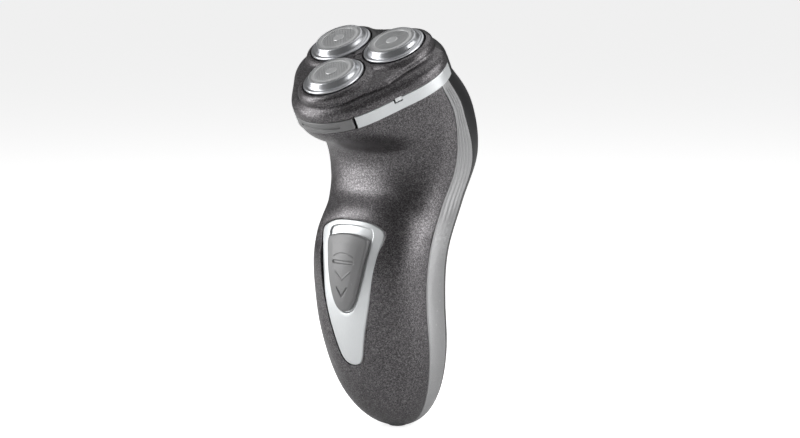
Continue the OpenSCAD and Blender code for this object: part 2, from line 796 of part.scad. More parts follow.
module head_rear_cover() {
    color([0.03, 0.03, 0.035]) head_frame() difference() {
        union() {
            intersection() {
                difference() {
                    plan_loft([[0.2, -9.8], [0.2, -8.4], [0.9, -6.9], [2.3, -5.3], [2.9, -4.9]]);
                    plan_slab(3.75, -11, 0);
                }
                rear_cut(0);
            }
            translate([-5.85, hinge_y, hinge_z]) rotate([0, 90, 0]) cylinder(r = 1.9, h = 11.7);
        }
        translate([-20, hinge_y, hinge_z]) rotate([0, 90, 0]) cylinder(r = 0.96, h = 40);
        for (k = [-1, 1]) mirror([k < 0 ? 1 : 0, 0, 0])
            translate([5.85, hinge_y, hinge_z]) rotate([0, 90, 0]) cylinder(r = 2.3, h = 4.2);
    }
}

module centre_cap() {
    color([0.8, 0.8, 0.82]) head_frame() {
        rod(1.3, -2.75, -1.6);
        translate([0, 0, -2.05]) rotate_extrude()
            polygon([[0, 0], [2.1, 0], [2.1, 0.4], [1.5, 0.9], [0, 1.1]]);
    }
}

module retaining_frame() {
    color([0.2, 0.2, 0.22]) head_frame() difference() {
        plan_slab(5.7, -7.2, -6);
        for (u = unit_at) rod_at(u[0], u[1], 8.8, -12, 2);
        rod(1.56, -12, 2);
        for (a = [90, 210, 330]) rod_at(19.5 * cos(a), 19.5 * sin(a), 2.5, -12, 2);
    }
}

module lock_wheel() {
    color([0.12, 0.12, 0.13]) head_frame() difference() {
        union() {
            rod(5.5, -9.6, -7.5);
            rod(1.5, -7.6, -4.2);
        }
        for (a = [0:30:330]) rotate([0, 0, a]) rod_at(5.8, 0, 0.7, -12, -7);
        block(-3.5, 3.5, -0.5, 0.5, -10, -8.8);
    }
}

module guard(i) {
    color([0.85, 0.86, 0.87]) head_frame() translate([unit_at[i][0], unit_at[i][1], 0])
        difference() {
            rotate_extrude($fn = e3) polygon([[0, face_h - 0.35], [8.3, face_h - 0.35],
                [8.6, face_h - 0.6], [9.4, 0], [9.4, -3.4], [10.2, -3.4], [10.2, -1],
                [rim_r - 0.4, -1], [rim_r, -0.6], [rim_r, -0.3], [rim_r - 0.5, 0.15],
                [10.4, 0.4], [9.5, face_h - 0.5], [8.9, face_h], [2, face_h], [1.7, face_h + 0.2],
                [0, face_h + 0.2]]);
            for (a = [0:360 / slot_count:359]) rotate([0, 0, a])
                block(6.9, 8.3, -0.16, 0.16, 1, 4);
        }
}

module guard_front() {
    guard(0);
}

module guard_left() {
    guard(1);
}

module guard_right() {
    guard(2);
}

module cutter(i) {
    color([0.78, 0.79, 0.8]) head_frame() translate([unit_at[i][0], unit_at[i][1], 0])
        difference() {
            union() {
                rod(3.4, -3.6, 0);
                rod(8.2, -0.2, 0.5);
                tube(8.2, 6.4, 0.4, face_h - 0.65);
            }
            block(-1.8, 1.8, -1.8, 1.8, -4, -2.2);
            for (a = [0:360 / blade_count:359]) rotate([0, 0, a])
                block(5, 9, -0.9, 0.9, 0.7, 4);
        }
}

module cutter_front() {
    cutter(0);
}

module cutter_left() {
    cutter(1);
}

module cutter_right() {
    cutter(2);
}

front_shell();
back_shell();
grip_left();
grip_right();
base_foot();
collar_left();
collar_right();
release_button();
release_springs();
switch_bezel();
switch_insert();
switch_slider();
switch_contact();
inner_frame();
circuit_board();
capacitor();
battery_left();
battery_right();
battery_straps();
motor();
motor_shaft();
motor_pinion();
motor_screws();
gear_chassis();
gear_axles();
gear_front();
gear_left();
gear_right();
spindle_front();
spindle_left();
spindle_right();
spindle_springs();
gear_deck();
deck_screws();
inlet_socket();
inlet_pins();
shell_screws();
trimmer_cover();
trimmer_comb();
trimmer_blade();
trimmer_pin();
trimmer_latch();
hinge_pin();
head_housing();
head_rear_cover();
centre_cap();
retaining_frame();
lock_wheel();
guard_front();
guard_left();
guard_right();
cutter_front();
cutter_left();
cutter_right();
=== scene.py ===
import bpy
import bmesh
import json
import math
import numpy as np
from mathutils import Matrix, Vector

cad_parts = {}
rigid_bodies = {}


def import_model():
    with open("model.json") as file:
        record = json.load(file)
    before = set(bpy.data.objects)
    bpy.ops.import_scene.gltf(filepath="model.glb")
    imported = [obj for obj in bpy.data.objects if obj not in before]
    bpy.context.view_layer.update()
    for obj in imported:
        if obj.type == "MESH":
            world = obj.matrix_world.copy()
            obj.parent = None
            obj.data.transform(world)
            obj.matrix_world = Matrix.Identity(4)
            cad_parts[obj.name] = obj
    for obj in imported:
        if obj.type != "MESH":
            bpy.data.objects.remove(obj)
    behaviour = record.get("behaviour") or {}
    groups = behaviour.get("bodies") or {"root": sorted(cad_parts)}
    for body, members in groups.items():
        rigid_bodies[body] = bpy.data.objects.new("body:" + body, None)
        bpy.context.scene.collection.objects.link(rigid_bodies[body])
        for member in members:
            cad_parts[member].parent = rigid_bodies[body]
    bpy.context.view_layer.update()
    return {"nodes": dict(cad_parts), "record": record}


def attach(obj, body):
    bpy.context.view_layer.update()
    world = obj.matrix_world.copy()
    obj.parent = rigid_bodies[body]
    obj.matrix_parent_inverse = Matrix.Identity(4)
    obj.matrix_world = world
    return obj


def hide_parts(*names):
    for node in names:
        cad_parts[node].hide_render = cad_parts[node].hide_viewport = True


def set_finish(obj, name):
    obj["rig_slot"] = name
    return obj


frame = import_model()
mm = 0.001

# camera
view = {
    "azimuth": 39.0,
    "elevation": 7.5,
    "distance": 0.9,
    "lens": 105.3,
    "lookAt": (0.0, -0.008, 0.076),
    "sideways": 0.0061,
    "upwards": 0.0058,
}


def makeCamera(v):
    a, e = math.radians(v["azimuth"]), math.radians(v["elevation"])
    back = Vector((math.sin(a) * math.cos(e), -math.cos(a) * math.cos(e), math.sin(e)))
    right = Vector((math.cos(a), math.sin(a), 0))
    up = back.cross(right)
    centre = Vector(v["lookAt"]) + right * v["sideways"] + up * v["upwards"]
    data = bpy.data.cameras.new("camera")
    data.lens = v["lens"]
    data.sensor_width = 36
    data.clip_end = 20
    cam = bpy.data.objects.new("camera", data)
    turned = Matrix((right, up, back)).transposed().to_4x4()
    cam.matrix_world = Matrix.Translation(centre + back * v["distance"]) @ turned
    bpy.context.scene.collection.objects.link(cam)
    bpy.context.scene.camera = cam


makeCamera(view)

# handle form
handleForm = {
    "station": [0, 14, 30, 50, 70, 88, 104, 120, 138],
    "tilt": [0, 0, 0, 0, 0, 5, 14, 23, 29.5],
    "midY": [0, -3.4, -6.5, -9.9, -9.7, -1.3, 4.1, 0.2, -14.6],
    "midZ": [0, 14, 30, 50, 70, 88, 103.5, 119, 134.5],
    "halfDepth": [20.9, 21.0, 20.8, 21.4, 21.9, 22.0, 23.7, 23.8, 31.6],
    "halfWidth": [24.6, 24.2, 24.1, 24.4, 25.4, 26.1, 28.8, 31.3, 31.4],
    "endLength": 46.0,
    "endPower": 2.15,
    "wall": 1.8,
    "crownFrom": 118.0,
    "crownLength": 20.0,
    "neckIn": 0.45,
}
planForm = {  # mean radius, then waves one to six
    "waves": [30.74, -2.93, 1.0, 1.81, 1.11, 0.27, 0.21],
    "round": 31.9,
}
seamForm = {
    "station": [0, 7, 14, 30, 52, 70, 85, 97, 110, 116, 122, 128, 138],
    "front": [0, -1, -2.3, -3.6, -3.9, -3.8, -7, -8, -7.7, -7.4, -4.4, -0.8, 1],
    "rear": [24, 24, 24, 24, 24, 22, 19, 15.8, 9.4, 6.6, 6.2, 9, 9],
    "gap": 0.12,
    "edge": 0.35,
}


def along(xs, ys, x):
    xs, ys, x = np.asarray(xs, float), np.asarray(ys, float), np.asarray(x, float)
    t = np.empty(len(xs))
    t[1:-1] = (ys[2:] - ys[:-2]) / (xs[2:] - xs[:-2])
    t[0] = (ys[1] - ys[0]) / (xs[1] - xs[0])
    t[-1] = (ys[-1] - ys[-2]) / (xs[-1] - xs[-2])
    i = np.clip(np.searchsorted(xs, x, side="right") - 1, 0, len(xs) - 2)
    h = xs[i + 1] - xs[i]
    u = (x - xs[i]) / h
    return ((2 * u ** 3 - 3 * u ** 2 + 1) * ys[i] + (u ** 3 - 2 * u ** 2 + u) * h * t[i]
            + (3 * u ** 2 - 2 * u ** 3) * ys[i + 1] + (u ** 3 - u ** 2) * h * t[i + 1])


def planRadius(a):  # rounded triangle of the head, angle in radians round its middle
    w = planForm["waves"]
    return (w[0] + w[1] * np.sin(a) + w[2] * np.cos(2 * a) + w[3] * np.sin(3 * a) + w[4] * np.cos(4 * a)
            + w[5] * np.sin(5 * a) + w[6] * np.cos(6 * a))


def skin(s, f, inset=0.0):  # s along the handle, f degrees round it, both arrays; millimetres out
    g = handleForm
    s = np.asarray(s, float)
    f = np.radians(np.asarray(f, float))
    near = np.clip(1 - s / g["endLength"], 0, 1) ** g["endPower"]
    end = np.where(s < g["endLength"], (1 - near) ** (1 / g["endPower"]), 1.0)
    b = along(g["station"], g["halfDepth"], s) * end
    w = along(g["station"], g["halfWidth"], s) * end
    e = 2 / np.where(s < 104, 2.5, 2.5 - 0.4 * (s - 104) / 34)
    across = np.sign(np.cos(f)) * np.abs(np.cos(f)) ** e
    deep = np.sign(np.sin(f)) * np.abs(np.sin(f)) ** e
    u = np.clip((s - g["crownFrom"]) / g["crownLength"], 0, 1)
    full = (planRadius(np.arctan2(b * deep, w * across)) - g["neckIn"]) / np.hypot(w * across, b * deep)
    k = 1 + u * u * (3 - 2 * u) * (full - 1)
    d = np.maximum(b - inset, 0.2) * deep * k
    x = np.maximum(w - inset, 0.2) * across * k
    th = np.radians(along(g["station"], g["tilt"], s))
    y = along(g["station"], g["midY"], s) + d * np.cos(th)
    z = along(g["station"], g["midZ"], s) + d * np.sin(th)
    return np.stack([x, y, z], -1)


def gridNormals(p):
    u = np.gradient(p, axis=0)
    v = np.gradient(p, axis=1)
    n = np.cross(v, u)
    return n / np.maximum(np.linalg.norm(n, axis=2, keepdims=True), 1e-9)


def handleRows(step):
    low = [0.5, 0.8, 1.3, 2.0, 3.0, 4.2, 5.6, 7.2, 9.0, 11.0, 13.0]
    top = 138.0
    mid = np.arange(low[-1] + step, top - 1.0, step)
    return np.concatenate([low, mid, [top - 0.9, top - 0.35, top - 0.12, top]])


def spacedAngles(rows, lo, hi, count, edge):  # angles on each row, even in arc length, dense at both ends
    near = np.array([0, 0.04, 0.15, 0.32, 0.6]) * edge / 0.35
    out, dist = [], []
    for s, a, b in zip(rows, lo, hi):
        f = np.linspace(a, b, 361)
        p = skin(np.full(361, s), f)
        length = np.concatenate([[0], np.cumsum(np.linalg.norm(np.diff(p, axis=0), axis=1))])
        total = length[-1]
        k = min(1.0, total / (4 * near[-1]))
        inner = np.linspace(near[-1] * k, total - near[-1] * k, count)
        want = np.concatenate([near[:-1] * k, inner, (total - near[:-1] * k)[::-1]])
        out.append(np.interp(want, length, f))
        dist.append(np.minimum(want, total - want))
    return np.array(out), np.array(dist)


def roundDrop(dist, radius):  # how far a rounded edge falls at this distance from it
    d = np.clip(dist, 0, radius)
    return radius - np.sqrt(np.maximum(radius ** 2 - (radius - d) ** 2, 0))


def meshFrom(name, verts, faces, smooth=True):
    me = bpy.data.meshes.new(name)
    me.from_pydata([tuple(v) for v in np.asarray(verts, float) * mm], [], faces)
    me.validate()
    if smooth:
        me.polygons.foreach_set("use_smooth", [True] * len(me.polygons))
    ob = bpy.data.objects.new(name, me)
    bpy.context.scene.collection.objects.link(ob)
    return ob


def faceOut(ob, weld=0.0):  # joins points closer than the weld distance and turns every face outwards
    bm = bmesh.new()
    bm.from_mesh(ob.data)
    if weld:
        bmesh.ops.remove_doubles(bm, verts=bm.verts, dist=weld)
    bmesh.ops.recalc_face_normals(bm, faces=bm.faces)
    bm.to_mesh(ob.data)
    bm.free()
    return ob


def sharpen(ob, degrees=38):
    me = ob.data
    bm = bmesh.new()
    bm.from_mesh(me)
    bmesh.ops.recalc_face_normals(bm, faces=bm.faces)
    limit = math.radians(degrees)
    for e in bm.edges:
        e.smooth = not (len(e.link_faces) == 2 and e.calc_face_angle(0) > limit)
    bm.to_mesh(me)
    bm.free()


def gridFaces(n, m, start=0, closed=False, flip=False):
    faces = []
    cols = m if closed else m - 1
    for i in range(n - 1):
        for j in range(cols):
            a, b = start + i * m + j, start + i * m + (j + 1) % m
            q = (a, b, b + m, a + m)
            faces.append(q[::-1] if flip else q)
    return faces


def tubeFaces(n, m):  # closed rings of m points, with a cap at each end
    return gridFaces(n, m, closed=True) + [tuple(range(m))[::-1], tuple(range((n - 1) * m, n * m))]


def stripShell(name, rows, lo, hi, count, thick, edge, shape=None, under=14):
    f, dist = spacedAngles(rows, lo, hi, count, edge)
    s = np.repeat(rows[:, None], f.shape[1], 1)
    outer = skin(s, f)
    normal = gridNormals(outer)
    topDist = np.minimum(np.abs(rows[-1] - s), 9)
    drop = np.maximum(roundDrop(dist, edge), roundDrop(topDist, edge * 0.7))
    if shape is not None:
        outer = shape(outer, normal, s, f, dist)
    outer = outer - normal * drop[..., None]
    back = np.array([np.linspace(b, a, under) for a, b in zip(lo, hi)])
    inner = skin(np.repeat(rows[:, None], under, 1), back, thick)
    loop = np.concatenate([outer, inner], axis=1)
    n, m = loop.shape[:2]
    return meshFrom(name, loop.reshape(-1, 3), tubeFaces(n, m))


# head frame
headForm = {
    "tilt": 29.5,
    "centre": (0.0, -24.7, 145.8),
    "unitRadius": 15.0,
    "collarShift": 3.2,
}
tiltR = math.radians(headForm["tilt"])
headMatrix = Matrix.Translation(Vector(headForm["centre"]) * mm) @ Matrix.Rotation(tiltR, 4, "X")
unitTurns = {"front": -90, "left": 150, "right": 30}
unitNames = list(unitTurns)
unitRadius = headForm["unitRadius"]
unitSpots = [(unitRadius * math.cos(math.radians(a)), unitRadius * math.sin(math.radians(a)))
             for a in unitTurns.values()]


def toHead(ob, spot=(0, 0)):  # a mesh drawn in the head's frame goes to its place
    ob.data.transform(headMatrix @ Matrix.Translation((spot[0] * mm, spot[1] * mm, 0)))
    return ob


def revolve(name, profile, steps=96, start=0.0, sweep=360.0, centre=(0, 0)):
    pts = np.asarray(profile, float)
    closed = sweep >= 359.9
    count = steps if closed else steps + 1
    ang = np.radians(start + np.arange(count) * sweep / steps)
    verts = np.stack([centre[0] + pts[:, None, 0] * np.cos(ang), centre[1] + pts[:, None, 0] * np.sin(ang),
                      np.repeat(pts[:, 1:2], count, 1)], -1)
    n = len(pts)
    faces = []
    for i in range(n):
        j = (i + 1) % n
        for k in range(count if closed else count - 1):
            a, b = k, (k + 1) % count
            faces.append((i * count + a, i * count + b, j * count + b, j * count + a))
    if not closed:
        faces.append(tuple(i * count for i in range(n)))
        faces.append(tuple(i * count + count - 1 for i in range(n))[::-1])
    ob = meshFrom(name, verts.reshape(-1, 3), faces)
    return faceOut(ob, 1e-7)


def toPlan(ob):  # a piece drawn round the head's middle takes the head's rounded triangle
    for v in ob.data.vertices:
        x, y = v.co.x / mm, v.co.y / mm - headForm["collarShift"]
        r, a = math.hypot(x, y), math.atan2(y, x)
        r += float(planRadius(a)) - planForm["round"]
        v.co.x, v.co.y = r * math.cos(a) * mm, (headForm["collarShift"] + r * math.sin(a)) * mm


def applyModifiers(ob):
    deps = bpy.context.evaluated_depsgraph_get()
    me = bpy.data.meshes.new_from_object(ob.evaluated_get(deps))
    old = ob.data
    ob.modifiers.clear()
    ob.data = me
    bpy.data.meshes.remove(old)


def cutWith(ob, cutters, operation="DIFFERENCE"):
    for c in cutters:
        mod = ob.modifiers.new("cut", "BOOLEAN")
        mod.operation = operation
        mod.solver = "EXACT"
        mod.object = c
    bpy.context.view_layer.update()
    applyModifiers(ob)
    for c in cutters:
        bpy.data.objects.remove(c)


def joinTo(ob, others):
    bm = bmesh.new()
    bm.from_mesh(ob.data)
    for o in others:
        bm.from_mesh(o.data)
    bm.to_mesh(ob.data)
    bm.free()
    for o in others:
        bpy.data.objects.remove(o)


def prism(name, outline, y0, y1):  # outline in x and height, pushed along y
    n = len(outline)
    verts = [(p[0], y0, p[1]) for p in outline] + [(p[0], y1, p[1]) for p in outline]
    faces = [tuple(range(n)), tuple(range(2 * n - 1, n - 1, -1))]
    faces += [(i, (i + 1) % n, n + (i + 1) % n, n + i) for i in range(n)]
    ob = meshFrom(name, verts, faces, False)
    return faceOut(ob)


def boxMesh(name, lo, hi):
    x0, y0, z0 = lo
    x1, y1, z1 = hi
    v = [(x, y, z) for x in (x0, x1) for y in (y0, y1) for z in (z0, z1)]
    f = [(0, 1, 3, 2), (4, 6, 7, 5), (0, 4, 5, 1), (2, 3, 7, 6), (0, 2, 6, 4), (1, 5, 7, 3)]
    return meshFrom(name, v, f, False)


# outlines of the switch plate
plateForm = {
    "drumY": 55.4,
    "drumZ": 57.0,
    "drumR": 87.0,
    "crossR": 43.0,
    "outer": [(0, 83.5), (4.5, 83.4), (8.2, 82.9), (11, 82), (13.1, 81), (14.6, 79.9), (15.1, 78.6),
              (14.9, 76.5), (14.1, 73), (13.3, 68), (12.4, 63), (11.6, 57.5), (10.7, 52.3), (9.5, 47),
              (7.9, 41), (6.6, 36), (5.8, 33), (4.9, 30.6), (3.6, 28.8), (1.9, 27.9), (0, 27.6)],
    "window": [(0, 81.6), (4.5, 81.4), (8, 80.8), (9.8, 80.1), (10.3, 79.1), (10.3, 76.5), (9.9, 72.8), (9.3, 69),
               (8.4, 64), (7.4, 59.6), (6.3, 55.6), (4.9, 52.1), (3.6, 50), (1.9, 48.7), (0, 48.3)],
    "slider": [(0, 78.7), (3, 78.6), (6.5, 77.9), (8.6, 77.3), (9.5, 76.6), (9.7, 75.4), (9.4, 72.5), (8.8, 69),
               (7.9, 64), (6.9, 59.6), (5.8, 55.8), (4.4, 52.4), (3.2, 50.5), (1.7, 49.4), (0, 49.1)],
}


def loopOf(half, count):  # closed smooth outline with evenly spaced points
    pts = list(half) + [(-x, z) for x, z in half[-2:0:-1]]
    p = np.array(pts, float)
    n = len(p)
    fine = []
    for i in range(n):
        a, b, c, d = p[i - 1], p[i], p[(i + 1) % n], p[(i + 2) % n]
        la, lb, lc = [max(np.linalg.norm(q), 1e-6) for q in (b - a, c - b, d - c)]
        mb = ((b - a) / la * lb + (c - b) / lb * la) / (la + lb)
        mc = ((c - b) / lb * lc + (d - c) / lc * lb) / (lb + lc)
        for t in np.linspace(0, 1, 12, endpoint=False):
            fine.append((2 * t ** 3 - 3 * t ** 2 + 1) * b + (t ** 3 - 2 * t ** 2 + t) * lb * mb
                        + (3 * t ** 2 - 2 * t ** 3) * c + (t ** 3 - t ** 2) * lb * mc)
    fine = np.array(fine)
    closed = np.vstack([fine, fine[:1]])
    length = np.concatenate([[0], np.cumsum(np.linalg.norm(np.diff(closed, axis=0), axis=1))])
    want = np.linspace(0, length[-1], count, endpoint=False)
    return np.stack([np.interp(want, length, closed[:, 0]), np.interp(want, length, closed[:, 1])], -1)


def grow(loop, by):  # outline pushed outwards by a distance
    t = np.roll(loop, -1, 0) - np.roll(loop, 1, 0)
    n = np.stack([-t[:, 1], t[:, 0]], -1)
    n /= np.linalg.norm(n, axis=1, keepdims=True)
    area = np.sum(loop[:, 0] * np.roll(loop[:, 1], -1) - np.roll(loop[:, 0], -1) * loop[:, 1])
    return loop + n * (by if area < 0 else -by)


def insideOf(loop, x, z):
    x, z = np.asarray(x), np.asarray(z)
    hit = np.zeros(x.shape, bool)
    ax, az = loop[:, 0], loop[:, 1]
    bx, bz = np.roll(ax, -1), np.roll(az, -1)
    for p, q, r, t in zip(ax, az, bx, bz):
        cross = ((q > z) != (t > z))
        hit ^= cross & (x < (r - p) * (z - q) / (t - q + 1e-12) + p)
    return hit


def distanceTo(loop, x, z):
    x, z = np.asarray(x), np.asarray(z)
    best = np.full(x.shape, 1e9)
    a, b = loop, np.roll(loop, -1, 0)
    for p, q in zip(a, b):
        d = q - p
        t = np.clip(((x - p[0]) * d[0] + (z - p[1]) * d[1]) / (d @ d + 1e-12), 0, 1)
        best = np.minimum(best, np.hypot(x - p[0] - t * d[0], z - p[1] - t * d[1]))
    return best


def drumFace(x, z, lift=0.0):  # y of the plate's face
    g = plateForm
    r = g["drumR"] + lift
    bow = np.asarray(x) ** 2 / (2 * g["crossR"])
    return g["drumY"] - np.sqrt(np.maximum(r ** 2 - (np.asarray(z) - g["drumZ"]) ** 2, 1)) + bow


outerLoop = loopOf(plateForm["outer"], 240)
windowLoop = loopOf(plateForm["window"], 240)
sliderLoop = loopOf(plateForm["slider"], 240)


# handle shells
def frontShape(p, normal, s, f, dist):  # the painted skin rises to lie level with the switch plate
    x, y, z = p[..., 0], p[..., 1], p[..., 2]
    near = (y < 0) & (z > 8) & (z < 104)
    coarse = outerLoop[::6]
    away = np.full(x.shape, 99.0)
    away[near] = np.where(insideOf(coarse, x[near], z[near]), 0, distanceTo(coarse, x[near], z[near]))
    w = np.clip(1 - (away - 1.2) / 10.5, 0, 1)
    w = w * w * (3 - 2 * w)
    target = drumFace(x, z) + 0.12
    out = p.copy()
    out[..., 1] = np.where(near, y + w * np.minimum(target - y, 0), y)
    return out


rows = handleRows(1.3)
frontLo = -180 - along(seamForm["station"], seamForm["front"], rows)
frontHi = along(seamForm["station"], seamForm["front"], rows)
frontShell = stripShell("frontShell", rows, frontLo, frontHi, 110, handleForm["wall"], seamForm["edge"], frontShape)
cutWith(frontShell, [prism("plateCut", [tuple(q) for q in grow(outerLoop[::2], 0.28)], -60, -12)])
sharpen(frontShell, 40)
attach(frontShell, "handle")
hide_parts("front_shell")
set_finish(frontShell, "dark_paint")
print("front shell", len(frontShell.data.polygons))

gripForm = {
    "thick": 0.9,
    "pitch": 1.22,
    "lean": 0.82,
    "bend": 0.05,
    "depth": 0.5,
    "longRibs": 4.6,
    "sweepFrom": 76.0,
    "sweepTo": 94.0,
    "smoothBelow": 11.0,
}


def gripShape(p, normal, s, f, dist):
    g = gripForm
    step = np.linalg.norm(np.diff(p, axis=1), axis=2)
    across = np.concatenate([np.zeros((len(p), 1)), np.cumsum(step, axis=1)], axis=1)
    total = across[:, -1:]
    if f[len(f) // 2, 0] > 90:
        across = total - across
    share = across / np.maximum(total, 1e-6)
    slant = (s - g["lean"] * across - g["bend"] * across ** 2) / g["pitch"]
    long = share * g["longRibs"] + (s - 120) * 0.012
    k = np.clip((s - g["sweepFrom"]) / (g["sweepTo"] - g["sweepFrom"]), 0, 1)
    k = k * k * (3 - 2 * k)
    wave = (1 - k) * (0.5 + 0.5 * np.cos(2 * math.pi * slant)) + k * (0.5 + 0.5 * np.cos(2 * math.pi * long))
    rib = np.clip(wave, 0, 1) ** 0.8
    fade = np.clip((s - g["smoothBelow"]) / 5, 0, 1) * np.clip((dist - 0.45) / 0.5, 0, 1)
    fade = fade * np.clip((137.2 - s) / 2, 0, 1)
    fade = fade * (0.75 + 0.25 * k)
    return p - normal * ((1 - rib) * g["depth"] * fade)[..., None]


gripRows = np.concatenate([[0.5, 0.8, 1.3, 2.0, 3.0, 4.2, 5.6, 7.2], np.arange(8.4, 136.9, 0.23),
                           [137.3, 137.7, 137.9, 138.0]])
gap = seamForm["gap"] * 1.3
seamFront = along(seamForm["station"], seamForm["front"], gripRows)
seamRear = along(seamForm["station"], seamForm["rear"], gripRows)
for side in ("right", "left"):
    lo, hi = (seamFront + gap, seamRear - gap) if side == "right" else (180 - seamRear + gap, 180 - seamFront - gap)
    ob = stripShell("grip" + side.capitalize(), gripRows, lo, hi, 34, gripForm["thick"], 0.22, gripShape, 6)
    sharpen(ob, 60)
    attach(ob, "handle")
    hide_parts("grip_" + side)
    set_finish(ob, "grip_grey")
print("grips", len(ob.data.polygons))

# back shell
backForm = {
    "trimmer": (89.6, 118.0, 61.4),
    "pivot": (16.4, 92.3),
    "screw": (12.0, 62.0),
    "inlet": (9.65, 15.35, 24.65),
    "hinge": (29.8, -10.2),
    "knuckle": (9.2, 6.2),
    "rearFrom": 17.0,
}


def patchSolid(name, s0, s1, f0, f1, out, inward, n=24, m=24):
    rs = np.linspace(s0, s1, n)
    fs = np.linspace(f0, f1, m)
    s, f = np.meshgrid(rs, fs, indexing="ij")
    a, b = skin(s, f, -out), skin(s, f[:, ::-1], inward)
    loop = np.concatenate([a, b], axis=1)
    k = loop.shape[1]
    return meshFrom(name, loop.reshape(-1, 3), tubeFaces(n, k))


def rodAlongX(name, r, y, z, x0, x1, steps=48):
    ob = revolve(name, [(0, x0), (r, x0), (r, x1), (0, x1)], steps)
    ob.data.transform(Matrix.Translation((0, y * mm, z * mm)) @ Matrix.Rotation(math.pi / 2, 4, "Y"))
    return ob


def rodAlongY(name, r, x, z, y0, y1, steps=40):
    ob = revolve(name, [(0, -y1), (r, -y1), (r, -y0), (0, -y0)], steps)
    ob.data.transform(Matrix.Translation((x * mm, 0, z * mm)) @ Matrix.Rotation(math.pi / 2, 4, "X"))
    return ob


seamRearRows = along(seamForm["station"], seamForm["rear"], rows)
backShell = stripShell("backShell", rows, seamRearRows, 180 - seamRearRows, 84, handleForm["wall"], seamForm["edge"])
b = backForm
windowCut = patchSolid("windowCut", b["trimmer"][0], b["trimmer"][1], b["trimmer"][2], 180 - b["trimmer"][2], 4, 6)
pivotCut = rodAlongX("pivotCut", 5.25, b["pivot"][0], b["pivot"][1], -15.9, 15.9)
inletCut = boxMesh("inletCut", (-b["inlet"][0], 2, b["inlet"][1]), (b["inlet"][0], 30, b["inlet"][2]))
screwCuts = [rodAlongY("screwCut", 2.45, x, b["screw"][1], 6.5, 30) for x in (-b["screw"][0], b["screw"][0])]
latchSpot = skin([77.0], [90.0])[0]
latchNext = skin([80.0], [90.0])[0]
latchLean = math.atan2(latchNext[1] - latchSpot[1], latchNext[2] - latchSpot[2])
latchMatrix = Matrix.Translation(Vector(latchSpot) * mm) @ Matrix.Rotation(-latchLean, 4, "X")
latchCut = boxMesh("latchCut", (-2.2, -4, -4.6), (2.2, 4, 7.6))
latchCut.data.transform(latchMatrix)
hingeCut = boxMesh("hingeCut", (-6.05, 26.7, -12.7), (6.05, 41, -8))
toHead(hingeCut)
cutWith(backShell, [windowCut, pivotCut, inletCut, latchCut, hingeCut] + screwCuts)
rearBand = [(30.2, -14.83), (31.55, -14.83), (31.8, -14.6), (31.8, -10.25), (31.5, -9.97), (30.2, -9.97)]
rearSpan = 180 - 2 * b["rearFrom"]
rearCollar = revolve("rearCollar", rearBand, 120, b["rearFrom"], rearSpan, (0, headForm["collarShift"]))
toPlan(rearCollar)
cutWith(rearCollar, [boxMesh("hingePocket", (-6.05, 26.7, -12.7), (6.05, 41, -8))])
toHead(rearCollar)
knuckles = []
toHinge = Matrix.Translation((0, b["hinge"][0] * mm, b["hinge"][1] * mm)) @ Matrix.Rotation(math.pi / 2, 4, "Y")
for x in (-9.2, 6.2):
    k = revolve("knuckle", [(0.95, x), (1.6, x), (1.9, x + 0.3), (1.9, x + 2.7), (1.6, x + 3), (0.95, x + 3)], 40)
    k.data.transform(toHinge)
    knuckles.append(toHead(k))
posts = []
for x in (-b["screw"][0], b["screw"][0]):
    post = revolve("post", [(1.25, -6.5), (2.45, -6.5), (2.45, -8.6), (3.0, -8.6), (3.0, -3.4), (1.25, -3.4)], 32)
    post.data.transform(Matrix.Translation((x * mm, 0, b["screw"][1] * mm)) @ Matrix.Rotation(math.pi / 2, 4, "X"))
    posts.append(post)
joinTo(backShell, [rearCollar] + knuckles + posts)
sharpen(backShell, 38)
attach(backShell, "handle")
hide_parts("back_shell")
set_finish(backShell, "black_plastic")
print("back shell", len(backShell.data.polygons))

# head housing
housingForm = {
    "skirt": [(0, -14), (31.7, -14), (31.7, -8.4), (31.55, -7.6), (31.1, -6.7), (30.3, -5.9), (29.0, -5.2),
              (27.0, -4.75), (23.5, -4.4), (0, -4.1)],
    "lobe": [(0, -14), (10.5, -14), (11.9, -9.6), (12.9, -7.6), (13.9, -5.8), (14.55, -4.2), (14.7, -3.1),
             (14.55, -2.1), (14.05, -1.25), (13.35, -0.8), (12.5, -0.6), (0, -0.6)],
    "blend": 1.1,
    "webTip": (24.8, 24.8, 21.5),
    "webSide": 26.7,
    "webSpread": 36.5,
    "webFall": 0.105,
    "webBlend": 0.6,
    "rimGap": 0.4,
    "bottom": -9.85,
}


def profileDistance(r, z, half):
    pts = np.array(list(half) + [(-q, w) for q, w in half[-2:0:-1]], float)
    best = np.full(r.shape, 1e9)
    inside = np.zeros(r.shape, bool)
    for p, q in zip(pts, np.roll(pts, -1, 0)):
        d = q - p
        t = np.clip(((r - p[0]) * d[0] + (z - p[1]) * d[1]) / (d @ d + 1e-12), 0, 1)
        best = np.minimum(best, np.hypot(r - p[0] - t * d[0], z - p[1] - t * d[1]))
        if abs(q[1] - p[1]) > 1e-9:
            inside ^= ((p[1] > z) != (q[1] > z)) & (r < (q[0] - p[0]) * (z - p[1]) / (q[1] - p[1]) + p[0])
    return np.where(inside, -best, best)


def blendMin(a, b, k):
    h = np.maximum(k - np.abs(a - b), 0) / k
    return np.minimum(a, b) - h * h * k / 4


def webOutline(turn, tip):  # flat web between two units, ending in a point
    h = housingForm
    spots = [(0, 0), (h["webSide"], -h["webSpread"]), (tip, 0), (h["webSide"], h["webSpread"])]
    return np.array([(r * math.cos(math.radians(turn + a)), r * math.sin(math.radians(turn + a))) for r, a in spots])


webs = [webOutline(turn, tip) for turn, tip in zip((-30, 210, 90), housingForm["webTip"])]


